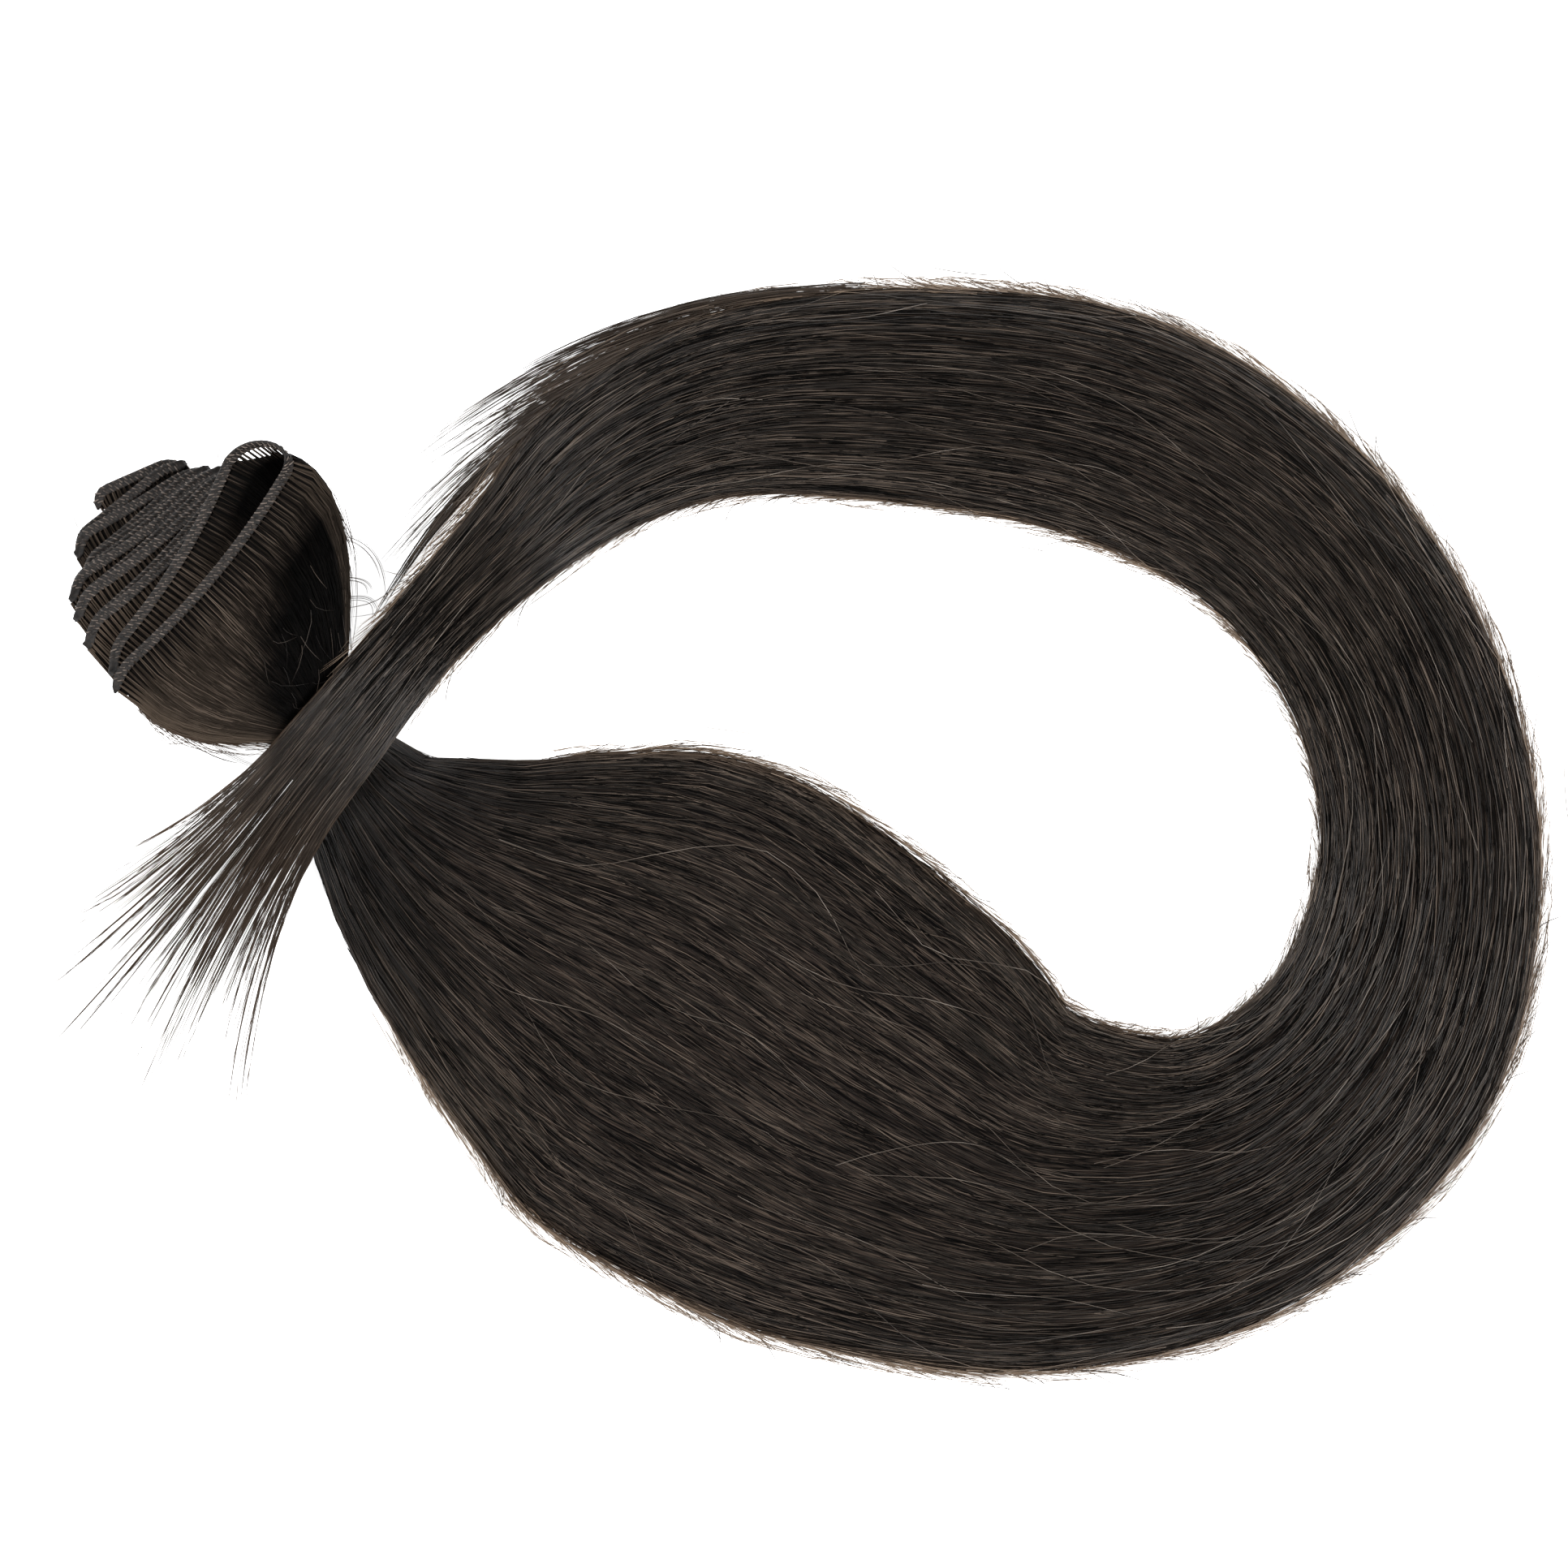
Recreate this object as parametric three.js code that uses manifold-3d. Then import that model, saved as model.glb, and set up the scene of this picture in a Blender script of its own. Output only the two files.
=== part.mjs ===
// Sewn hair weft: a stitched seam folded zig-zag into a stack, its hair tied below the stack and
// laid down in one loop. Millimetres, +Z up, lying on the plane z = 0.
import * as THREE from 'three';
import { mergeVertices } from 'three/addons/utils/BufferGeometryUtils.js';
import Module from 'manifold-3d';

const wasm = await Module();
wasm.setup();

// Driving dimensions
const GAP = 0.3;
const SEAM_WIDTH = 3.2;
const SEAM_THICKNESS = 0.9;
const SEAM_CLEARANCE = 0.55;
const LAYER_RISE = 1.45;
const RUNS = 14;
const RUN_BOW = 2.4;
const FOLD_BULGE = 0.85;
const SHEET_AT_SEAM = 0.8;
const SHEET_AT_NECK = 0.4;
const NECK_WIDTH = 18.4;
const NECK_HEIGHT = 10;
const NECK_FILL = 0.78;
const TIE_WIDTH = 5;
const TIE_THICKNESS = 1.4;
const EDGE_THICKNESS = 0.5;
const LOCK_RIDGE = 0.6;

// The neck of the bundle, where the tie goes round: its centre and the way the hair runs through it
const NECK = new THREE.Vector3(-94.75, 17.1, TIE_THICKNESS + GAP + NECK_HEIGHT / 2);
const NECK_AXIS = new THREE.Vector3(0.5, -Math.sqrt(0.75), 0);
const NECK_ACROSS = new THREE.Vector3(Math.sqrt(0.75), 0.5, 0);

// Folds of the seam in plan, from the lowest up. The first left row is the seam's lower free end and the
// last its upper free end. The last two right rows are the feet of the open fold.
const LEFT_FOLDS = [
  { x: -143.4, y: 67.0 },
  { x: -147.4, y: 57.8 },
  { x: -145.8, y: 52.6 },
  { x: -148.4, y: 48.8 },
  { x: -147.4, y: 44.8 },
  { x: -145.4, y: 39.2 },
  { x: -140.6, y: 33.6 },
  { x: -140.2, y: 29.0 },
];
const RIGHT_FOLDS = [
  { x: -126.9, y: 74.2 },
  { x: -122.1, y: 73.0 },
  { x: -119.2, y: 72.8 },
  { x: -116.4, y: 72.6 },
  { x: -113.9, y: 72.2 },
  { x: -112.1, y: 70.8 },
  { x: -115.4, y: 73.3 },
  { x: -104.3, y: 70.0 },
];

// The uppermost right-hand fold stands open: the level it starts from, how far it swings out,
// how high it stands and how steeply its hair falls
const OPEN_FOLD = { level: 12, bulge: 6.3, rise: 3.5, dip: 0.75 };

// Sections of the hank from the tie to where the tips part: centre in plan, width, crest height,
// lift of the underside above the table, and roundness (1 is an oval, 0 lies flat with a domed top)
const HANK_SECTIONS = [
  { x: -94.6, y: 16.84, width: 17.2, crest: 9.2, lift: 2.1, round: 1 },
  { x: -93.0, y: 14.07, width: 17.4, crest: 9.2, lift: 2.1, round: 1 },
  { x: -89.6, y: 9.3, width: 26.0, crest: 9.2, lift: 1.2, round: 0.6 },
  { x: -84.2, y: 1.6, width: 39.0, crest: 8.6, lift: 0.2, round: 0.2 },
  { x: -71.2, y: -9.6, width: 59.5, crest: 7.8, lift: 0, round: 0 },
  { x: -55.0, y: -19.5, width: 82.0, crest: 7.2, lift: 0, round: 0 },
  { x: -38.0, y: -28.5, width: 100.0, crest: 6.8, lift: 0, round: 0 },
  { x: -21.7, y: -38.2, width: 107.0, crest: 6.6, lift: 0, round: 0 },
  { x: 11.0, y: -58.0, width: 100.0, crest: 7.0, lift: 0, round: 0 },
  { x: 46.0, y: -72.8, width: 77.5, crest: 8.5, lift: 0, round: 0 },
  { x: 84.8, y: -70.2, width: 61.5, crest: 10.0, lift: 0, round: 0 },
  { x: 114.6, y: -46.4, width: 53.5, crest: 11.0, lift: 0, round: 0 },
  { x: 126.2, y: -9.4, width: 47.0, crest: 11.5, lift: 0, round: 0 },
  { x: 119.7, y: 28.0, width: 44.5, crest: 11.5, lift: 0, round: 0 },
  { x: 98.0, y: 59.7, width: 45.3, crest: 11.0, lift: 0, round: 0 },
  { x: 65.6, y: 80.0, width: 48.5, crest: 10.0, lift: 0, round: 0 },
  { x: 28.2, y: 87.1, width: 45.7, crest: 9.0, lift: 0, round: 0 },
  { x: -11.0, y: 86.5, width: 39.7, crest: 7.5, lift: 0, round: 0 },
  { x: -36.7, y: 77.0, width: 32.5, crest: 6.0, lift: 0.2, round: 0 },
  { x: -59.2, y: 58.8, width: 23.0, crest: 5.0, lift: 2.8, round: 0 },
  { x: -77.9, y: 38.3, width: 17.4, crest: 4.4, lift: 14.0, round: 0 },
  { x: -94.75, y: 17.1, width: 18.8, crest: 4.0, lift: 15.2, round: 0 },
  { x: -105.1, y: 4.6, width: 20.0, crest: 3.0, lift: 11.8, round: 0 },
];
const HANK_STATIONS = 48;
const HANK_COLUMNS = 14;

// A long furrow where the outermost lock lies beside the main body of the hank
const FURROW = { across: 0.72, spread: 0.1, along: 0.27, reach: 0.09, depth: 0.35 };

// Locks that the tail parts into: place across the tail's end, tip in plan, width at the root
const TIP_LOCKS = [
  { across: 0.86, tipX: -146.2, tipY: -15.0, width: 3.4 },
  { across: 0.64, tipX: -149.4, tipY: -29.8, width: 4.2 },
  { across: 0.4, tipX: -140.0, tipY: -31.5, width: 4.2 },
  { across: 0.14, tipX: -142.0, tipY: -43.0, width: 4.4 },
  { across: -0.12, tipX: -135.0, tipY: -49.0, width: 5.0 },
  { across: -0.36, tipX: -129.4, tipY: -46.5, width: 4.2 },
  { across: -0.62, tipX: -124.6, tipY: -44.0, width: 3.8 },
  { across: -0.85, tipX: -113.0, tipY: -50.6, width: 4.2 },
];

// Shorter hair that leaves the outer edge of the tail: where along the hank it parts, and its tip in plan
const EDGE_WISPS = [
  { along: 0.775, across: 0.86, tipX: -58.0, tipY: 92.4, width: 5.0 },
  { along: 0.8, across: 0.8, tipX: -66.4, tipY: 77.6, width: 5.0 },
  { along: 0.815, across: 0.8, tipX: -79.6, tipY: 69.8, width: 4.6 },
  { along: 0.835, across: 0.85, tipX: -83.0, tipY: 60.0, width: 4.4 },
  { along: 0.84, across: 0.85, tipX: -88.6, tipY: 39.4, width: 4.0 },
];

// Smooth curve through the rows of a table, read at any place between 0 and 1
function tableCurve(rows, columns) {
  const last = rows.length - 1;
  return (place) => {
    const at = THREE.MathUtils.clamp(place, 0, 1) * last;
    const i = Math.min(Math.floor(at), last - 1);
    const f = at - i;
    const row = {};
    for (const name of columns) {
      const before = rows[Math.max(i - 1, 0)][name];
      const from = rows[i][name];
      const to = rows[i + 1][name];
      const after = rows[Math.min(i + 2, last)][name];
      const leave = (to - before) / 2;
      const arrive = (after - from) / 2;
      const bend = 3 * (to - from) - 2 * leave - arrive;
      const twist = leave + arrive - 2 * (to - from);
      row[name] = from + f * (leave + f * (bend + f * twist));
    }
    return row;
  };
}

// Closed solid between an upper and a lower grid of points of the same size
function solidBetween(upper, lower) {
  const rows = upper.length;
  const columns = upper[0].length;
  const points = [...upper.flat(), ...lower.flat()];
  const top = (i, j) => i * columns + j;
  const under = (i, j) => rows * columns + i * columns + j;
  const index = [];
  const quad = (a, b, c, d) => index.push(a, b, c, a, c, d);
  for (let i = 0; i < rows - 1; i += 1) {
    for (let j = 0; j < columns - 1; j += 1) {
      quad(top(i, j), top(i, j + 1), top(i + 1, j + 1), top(i + 1, j));
      quad(under(i, j), under(i + 1, j), under(i + 1, j + 1), under(i, j + 1));
    }
    quad(top(i, 0), top(i + 1, 0), under(i + 1, 0), under(i, 0));
    quad(top(i + 1, columns - 1), top(i, columns - 1), under(i, columns - 1), under(i + 1, columns - 1));
  }
  for (let j = 0; j < columns - 1; j += 1) {
    quad(top(0, j + 1), top(0, j), under(0, j), under(0, j + 1));
    quad(top(rows - 1, j), top(rows - 1, j + 1), under(rows - 1, j + 1), under(rows - 1, j));
  }
  let volume = 0;
  for (let n = 0; n < index.length; n += 3) {
    const [a, b, c] = [points[index[n]], points[index[n + 1]], points[index[n + 2]]];
    volume += a.dot(b.clone().cross(c));
  }
  if (volume < 0) index.reverse();
  const geometry = new THREE.BufferGeometry().setFromPoints(points);
  geometry.setIndex(index);
  return geometry;
}

function toManifold(geometry) {
  const merged = mergeVertices(geometry);
  return new wasm.Manifold(new wasm.Mesh({
    numProp: 3,
    vertProperties: new Float32Array(merged.attributes.position.array),
    triVerts: new Uint32Array(merged.index.array),
  }));
}

function fromManifold(solid) {
  const mesh = solid.getMesh();
  const geometry = new THREE.BufferGeometry();
  geometry.setAttribute('position', new THREE.BufferAttribute(mesh.vertProperties, 3));
  geometry.setIndex(new THREE.BufferAttribute(mesh.triVerts, 1));
  return geometry;
}

// Left and right ends of one run in plan, counting runs from 0 at the bottom of the stack
function runEnds(run) {
  const left = LEFT_FOLDS[Math.ceil(run / 2)];
  const right = RIGHT_FOLDS[Math.floor(run === OPEN_FOLD.level + 1 ? (run + 1) / 2 : run / 2)];
  return { left: new THREE.Vector2(left.x, left.y), right: new THREE.Vector2(right.x, right.y) };
}

// A place on the folded seam: along is 0 at the left end of a run and 1 at its right end,
// and a level between two whole numbers is a place on the fold that joins their runs
function seamPlace(along, level) {
  const below = runEnds(Math.floor(level));
  const above = runEnds(Math.ceil(level));
  const left = below.left.lerp(above.left, level % 1);
  const right = below.right.lerp(above.right, level % 1);
  const run = right.clone().sub(left).normalize();
  const hair = new THREE.Vector2(run.y, -run.x);
  const bow = RUN_BOW * (level / (RUNS - 1)) * 4 * along * (1 - along);
  const plan = left.lerp(right, along).addScaledVector(hair, bow);
  const lift = OPEN_FOLD.rise * along * Math.max(0, level - OPEN_FOLD.level);
  return {
    point: new THREE.Vector3(plan.x, plan.y, SEAM_THICKNESS / 2 + level * LAYER_RISE + lift),
    run: new THREE.Vector3(run.x, run.y, 0),
    hair: new THREE.Vector3(hair.x, hair.y, 0),
    dip: 0,
    along,
    level,
  };
}

// The path of the whole seam, run after run, with a round turn at every fold
function seamPath() {
  const RUN_STEPS = 4;
  const FOLD_STEPS = 4;
  const OPEN_FOLD_STEPS = 8;
  const path = [];
  for (let level = 0; level < RUNS; level += 1) {
    const rightward = level % 2 === 0;
    for (let i = 0; i <= RUN_STEPS; i += 1) {
      const along = rightward ? i / RUN_STEPS : 1 - i / RUN_STEPS;
      path.push(seamPlace(along, level));
    }
    if (level === RUNS - 1) break;
    const open = level === OPEN_FOLD.level;
    const bulge = open ? OPEN_FOLD.bulge : FOLD_BULGE;
    const steps = open ? OPEN_FOLD_STEPS : FOLD_STEPS;
    const end = rightward ? 1 : 0;
    for (let i = 1; i < steps; i += 1) {
      const turn = (Math.PI * i) / steps;
      const place = seamPlace(end, level + (1 - Math.cos(turn)) / 2);
      const outward = rightward ? 1 : -1;
      place.point.addScaledVector(place.run, outward * bulge * Math.sin(turn));
      if (open) {
        place.point.z += OPEN_FOLD.rise * Math.sin(turn);
        place.dip = OPEN_FOLD.dip * Math.sin(turn);
      }
      path.push(place);
    }
  }
  return path;
}

// The way the seam's width points at a place on it, towards the hair
function seamHang(place) {
  const hang = place.hair.clone();
  hang.z = -place.dip;
  return hang.normalize();
}

// Where the hair from a place on the seam passes through the neck
function neckPlace(place) {
  const stack = (place.level + 0.5) / RUNS - 0.5;
  const halfWidth = (NECK_WIDTH / 2) * Math.sqrt(1 - (2 * stack) ** 2);
  return NECK.clone()
    .addScaledVector(NECK_ACROSS, (2 * place.along - 1) * halfWidth * NECK_FILL)
    .add(new THREE.Vector3(0, 0, stack * NECK_HEIGHT * NECK_FILL));
}

// The hair sheet below one place on the seam: a smooth path from the seam to the neck
function hairPath(place) {
  const LEAVE = 56;
  const ARRIVE = 17;
  const FAN = 0.5;
  const FAN_CENTRE = 0.55;
  const splay = FAN * (place.along - FAN_CENTRE);
  const leave = place.hair.clone().multiplyScalar(Math.cos(splay))
    .addScaledVector(place.run, Math.sin(splay));
  leave.z = -place.dip;
  const start = place.point.clone().addScaledVector(seamHang(place), SEAM_WIDTH / 2 + SEAM_CLEARANCE);
  const end = neckPlace(place).addScaledVector(NECK_AXIS, -GAP);
  return (f) => {
    const g = 1 - f;
    return start.clone().multiplyScalar(g * g * (1 + 2 * f))
      .addScaledVector(leave, LEAVE * f * g * g)
      .addScaledVector(end, f * f * (3 - 2 * f))
      .addScaledVector(NECK_AXIS, -ARRIVE * f * f * g);
  };
}

// Grids of points on both faces of a sheet whose middle is a grid of points
function thicken(middle, thicknessAt) {
  const rows = middle.length;
  const columns = middle[0].length;
  const upper = [];
  const lower = [];
  for (let i = 0; i < rows; i += 1) {
    upper.push([]);
    lower.push([]);
    for (let j = 0; j < columns; j += 1) {
      const along = middle[Math.min(i + 1, rows - 1)][j].clone().sub(middle[Math.max(i - 1, 0)][j]);
      const across = middle[i][Math.min(j + 1, columns - 1)].clone().sub(middle[i][Math.max(j - 1, 0)]);
      const normal = along.cross(across).normalize();
      const half = thicknessAt(j / (columns - 1)) / 2;
      upper[i].push(middle[i][j].clone().addScaledVector(normal, half));
      lower[i].push(middle[i][j].clone().addScaledVector(normal, -half));
    }
  }
  return [upper, lower];
}

function weftBand(path) {
  const middle = path.map((place) => {
    const hang = seamHang(place);
    return [-0.5, 0.5].map((side) => place.point.clone().addScaledVector(hang, side * SEAM_WIDTH));
  });
  return solidBetween(...thicken(middle, () => SEAM_THICKNESS));
}

function crownHair(path) {
  const STATIONS = 5;
  const middle = path.map((place) => {
    const hair = hairPath(place);
    return Array.from({ length: STATIONS + 1 }, (_, j) => hair(j / STATIONS));
  });
  return solidBetween(...thicken(middle, (f) => THREE.MathUtils.lerp(SHEET_AT_SEAM, SHEET_AT_NECK, f)));
}

function tieBand() {
  const inner = { x: NECK_WIDTH / 2 + GAP, y: NECK_HEIGHT / 2 + GAP };
  const outline = new THREE.Shape();
  outline.absellipse(0, 0, inner.x + TIE_THICKNESS, inner.y + TIE_THICKNESS, 0, 2 * Math.PI);
  const hole = new THREE.Path();
  hole.absellipse(0, 0, inner.x, inner.y, 0, 2 * Math.PI, true);
  outline.holes.push(hole);
  const ring = { depth: TIE_WIDTH, bevelEnabled: false, curveSegments: 20 };
  const geometry = new THREE.ExtrudeGeometry(outline, ring);
  geometry.translate(0, 0, -TIE_WIDTH / 2);
  const up = new THREE.Vector3(0, 0, 1);
  const turn = new THREE.Matrix4().makeBasis(NECK_ACROSS, up, NECK_ACROSS.clone().cross(up));
  geometry.applyMatrix4(turn.setPosition(NECK));
  return geometry;
}

const hankAt = tableCurve(HANK_SECTIONS, ['x', 'y', 'width', 'crest', 'lift', 'round']);

// Section of the hank at one place, with the direction across it towards the outer side of the loop
function hankSection(place) {
  const STEP = 0.002;
  const section = hankAt(place);
  section.lift = Math.max(section.lift, 0);
  section.round = THREE.MathUtils.clamp(section.round, 0, 1);
  const ahead = hankAt(place + STEP);
  const behind = hankAt(place - STEP);
  const way = new THREE.Vector2(ahead.x - behind.x, ahead.y - behind.y).normalize();
  section.outward = new THREE.Vector2(way.y, -way.x);
  return section;
}

// Heights of the hank's top and underside at a place across it, from -1 to 1
function hankHeights(section, across, place) {
  const DOME = { fullness: 2.4, edge: 0.7 };
  const { crest, lift, round } = section;
  const oval = Math.sqrt(Math.max(0, 1 - across ** 2));
  const dome = (1 - Math.abs(across) ** DOME.fullness) ** DOME.edge;
  const furrow = FURROW.depth
    * Math.exp(-(((across - FURROW.across) / FURROW.spread) ** 2))
    * Math.exp(-(((place - FURROW.along) / FURROW.reach) ** 2));
  const body = (1 - round) * dome * (1 - furrow) + round * (0.5 + 0.5 * oval);
  return {
    under: lift + round * (crest / 2) * (1 - oval),
    top: lift + EDGE_THICKNESS + (crest - EDGE_THICKNESS) * body,
  };
}

// Body of the hank, with shallow ridges that follow its main locks
function hankBody() {
  const upper = [];
  const lower = [];
  for (let i = 0; i <= HANK_STATIONS; i += 1) {
    const place = i / HANK_STATIONS;
    const section = hankSection(place);
    upper.push([]);
    lower.push([]);
    for (let j = 0; j <= HANK_COLUMNS; j += 1) {
      const across = -1 + (2 * j) / HANK_COLUMNS;
      const heights = hankHeights(section, across, place);
      const ridge = (1 - section.round) * LOCK_RIDGE * (j % 2 ? 1 : -1) * (1 - across ** 2);
      const x = section.x + section.outward.x * across * section.width / 2;
      const y = section.y + section.outward.y * across * section.width / 2;
      upper[i].push(new THREE.Vector3(x, y, heights.top + ridge));
      lower[i].push(new THREE.Vector3(x, y, heights.under));
    }
  }
  return solidBetween(upper, lower);
}

// A tapered lock of hair that leaves the hank at one place and comes down to the table at its tip
function lock(place, across, tip, width, sweep) {
  const STATIONS = 6;
  const TIP_WIDTH = 0.9;
  const THICKNESS = { root: 2.2, tip: 0.8 };
  const section = hankSection(place);
  const way = new THREE.Vector2(-section.outward.y, section.outward.x);
  const root = new THREE.Vector2(section.x, section.y)
    .addScaledVector(section.outward, across * section.width / 2);
  const reach = root.distanceTo(tip);
  const bend = root.clone().addScaledVector(way, reach * sweep);
  const curve = new THREE.QuadraticBezierCurve(root, bend, tip);
  const heights = hankHeights(section, across, place);
  const rootLift = Math.max(heights.under, (heights.under + heights.top - THICKNESS.root) / 2);
  const upper = [];
  const lower = [];
  for (let i = 0; i <= STATIONS; i += 1) {
    const f = i / STATIONS;
    const point = curve.getPoint(f);
    const tangent = curve.getTangent(f);
    const side = new THREE.Vector2(tangent.y, -tangent.x);
    const half = THREE.MathUtils.lerp(width, TIP_WIDTH, f) / 2;
    const thick = THREE.MathUtils.lerp(THICKNESS.root, THICKNESS.tip, f);
    const lift = rootLift * (1 - f) ** 2 * (1 + f);
    const at = (u, z) => new THREE.Vector3(point.x + side.x * half * u, point.y + side.y * half * u, z);
    upper.push([at(-1, lift + thick / 2), at(0, lift + thick), at(1, lift + thick / 2)]);
    lower.push([at(-1, lift), at(0, lift), at(1, lift)]);
  }
  return solidBetween(upper, lower);
}

function hank() {
  const LOCK_ROOT = 0.965;
  const TIP_SWEEP = 0.45;
  const WISP_SWEEP = 0.3;
  const locks = TIP_LOCKS.map((row) => (
    lock(LOCK_ROOT, row.across, new THREE.Vector2(row.tipX, row.tipY), row.width, TIP_SWEEP)
  ));
  const wisps = EDGE_WISPS.map((row) => (
    lock(row.along, row.across, new THREE.Vector2(row.tipX, row.tipY), row.width, WISP_SWEEP)
  ));
  let solid = toManifold(hankBody());
  for (const piece of [...locks, ...wisps]) solid = solid.add(toManifold(piece));
  return fromManifold(solid);
}

// Finishes
const hairFinish = new THREE.MeshStandardMaterial({ color: 0x2a2623, roughness: 0.5, metalness: 0 });
const threadFinish = new THREE.MeshStandardMaterial({ color: 0x35302d, roughness: 0.7, metalness: 0 });
const elasticFinish = new THREE.MeshStandardMaterial({ color: 0x1a1919, roughness: 0.8, metalness: 0 });

function piece(name, geometry, finish) {
  const mesh = new THREE.Mesh(geometry, finish);
  mesh.name = name;
  return mesh;
}

const path = seamPath();
const bundle = new THREE.Group();
bundle.add(piece('weft_band', weftBand(path), threadFinish));
bundle.add(piece('crown_hair', crownHair(path), hairFinish));
bundle.add(piece('tie_band', tieBand(), elasticFinish));
bundle.add(piece('hank', hank(), hairFinish));

// The origin is the middle of the bundle's outline on the table
const box = new THREE.Box3().setFromObject(bundle);
const centre = box.getCenter(new THREE.Vector3());
bundle.position.set(-centre.x, -centre.y, -box.min.z);

export default bundle;
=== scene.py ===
# %% [markdown]
# # A sewn hair weft, folded, tied and laid in a loop
# The object is a long strip of machine-sewn seam that carries straight dark-brown hair. The seam is
# folded to and fro into a small fanned stack, an elastic ties the hair just below it, and the free
# hair lies on the table in one loop whose thin end crosses back over the tie. The measured solids
# come first, because every hair has to lie where they are.

# %% Load the measured solids
import bpy
import numpy as np
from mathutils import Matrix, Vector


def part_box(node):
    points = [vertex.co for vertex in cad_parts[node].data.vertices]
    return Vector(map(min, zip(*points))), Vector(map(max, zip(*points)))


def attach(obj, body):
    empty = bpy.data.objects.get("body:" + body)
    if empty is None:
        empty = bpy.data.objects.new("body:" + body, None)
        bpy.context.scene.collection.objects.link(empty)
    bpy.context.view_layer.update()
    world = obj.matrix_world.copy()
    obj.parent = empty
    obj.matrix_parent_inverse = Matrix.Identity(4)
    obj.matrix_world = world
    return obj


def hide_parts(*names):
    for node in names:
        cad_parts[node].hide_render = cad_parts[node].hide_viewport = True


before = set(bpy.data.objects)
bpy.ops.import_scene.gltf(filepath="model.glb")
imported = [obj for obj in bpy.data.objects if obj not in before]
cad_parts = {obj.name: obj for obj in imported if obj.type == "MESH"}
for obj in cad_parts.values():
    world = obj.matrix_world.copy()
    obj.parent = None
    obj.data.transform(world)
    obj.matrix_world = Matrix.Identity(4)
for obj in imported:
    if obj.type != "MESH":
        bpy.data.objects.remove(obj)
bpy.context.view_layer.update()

scene = bpy.context.scene
print("solids:", sorted(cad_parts))

# %% [markdown]
# ## One ruler for everything
# The sizes below are in millimetres, in the plan that the solids were drawn in. The solids were then
# moved a little to put their middle at the origin, and the tie's box shows by how much. One function
# turns drawing millimetres into scene metres, so no piece needs fitting by eye. A second one eases
# a value from 0 to 1, for everything that fades in.

# %% Millimetres to metres
NECK = np.array([-94.75, 17.1, 6.7])
tie_low, tie_high = (np.array(corner) * 1000 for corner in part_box("tie_band"))
SHIFT = ((tie_low + tie_high) / 2 - NECK) * np.array([1, 1, 0])


def metres(points):
    return (np.asarray(points, dtype=float) + SHIFT) / 1000


def ease(low, high, value):
    t = np.clip((np.asarray(value, dtype=float) - low) / (high - low), 0, 1)
    return t * t * (3 - 2 * t)


print("drawing shifted by", SHIFT.round(3), "mm")

# %% [markdown]
# ## Camera, light and table
# The picture looks straight down on a white table with almost no shadow. A long lens high above keeps
# the view nearly flat. The table is a lit panel, as used for product pictures, so it stays white
# right up to the hair. A dim dome and two large soft lamps then give fine glints along the strands.

# %% Camera straight above
VIEW_WIDTH_MM = 316.7
VIEW_CENTRE_MM = (-4.26, 9.10, 0)
CAMERA_HEIGHT = 3.0
SENSOR_MM = 36
lens = bpy.data.cameras.new("overhead")
lens.sensor_width = SENSOR_MM
lens.lens = SENSOR_MM * CAMERA_HEIGHT / (VIEW_WIDTH_MM / 1000)
camera = bpy.data.objects.new("overhead", lens)
camera.location = metres(VIEW_CENTRE_MM) + np.array([0, 0, CAMERA_HEIGHT])
scene.collection.objects.link(camera)
scene.camera = camera
scene.view_settings.view_transform = "Standard"
print("lens", round(lens.lens, 1), "mm")


# %% A node with its settings and links
def add_node(tree, kind, links=None, **settings):
    node = tree.nodes.new(kind)
    for name, value in settings.items():
        setattr(node, name, value)
    for key, value in (links or {}).items():
        if isinstance(value, bpy.types.NodeSocket):
            tree.links.new(value, node.inputs[key])
        else:
            node.inputs[key].default_value = value
    return node


# %% Colours from sRGB hex
def linear(colour):
    channels = np.array([int(colour[i:i + 2], 16) for i in (1, 3, 5)]) / 255
    low, high = channels / 12.92, ((channels + 0.055) / 1.055) ** 2.4
    return (*np.where(channels <= 0.04045, low, high), 1.0)


# %% Dome and soft lamps
DOME_STRENGTH = 0.32
LAMPS = {"lamp_left": (-1.1, 0.5, 1.5), "lamp_right": (1.0, -0.7, 1.6)}
LAMP_WATTS = 42
LAMP_SIZE = 0.9
scene.world = bpy.data.worlds.new("even_dome")
scene.world.use_nodes = True
dome = scene.world.node_tree.nodes["Background"]
dome.inputs["Color"].default_value = linear("#fffdfb")
dome.inputs["Strength"].default_value = DOME_STRENGTH
for name, place in LAMPS.items():
    lamp = bpy.data.lights.new(name, "AREA")
    lamp.shape = "DISK"
    lamp.size = LAMP_SIZE
    lamp.energy = LAMP_WATTS
    holder = bpy.data.objects.new(name, lamp)
    holder.location = place
    towards = -holder.location
    holder.rotation_euler = towards.to_track_quat("-Z", "Y").to_euler()
    scene.collection.objects.link(holder)
print("lamps:", list(LAMPS))

# %% Lit white table
TABLE_HALF = 3.0
TABLE_DROP = 0.0004
TABLE_GLOW = 0.9
corners = [(-1, -1), (1, -1), (1, 1), (-1, 1)]
table_mesh = bpy.data.meshes.new("table")
table_points = [(x * TABLE_HALF, y * TABLE_HALF, -TABLE_DROP) for x, y in corners]
table_mesh.from_pydata(table_points, [], [(0, 1, 2, 3)])
table = bpy.data.objects.new("table", table_mesh)
scene.collection.objects.link(table)
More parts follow.
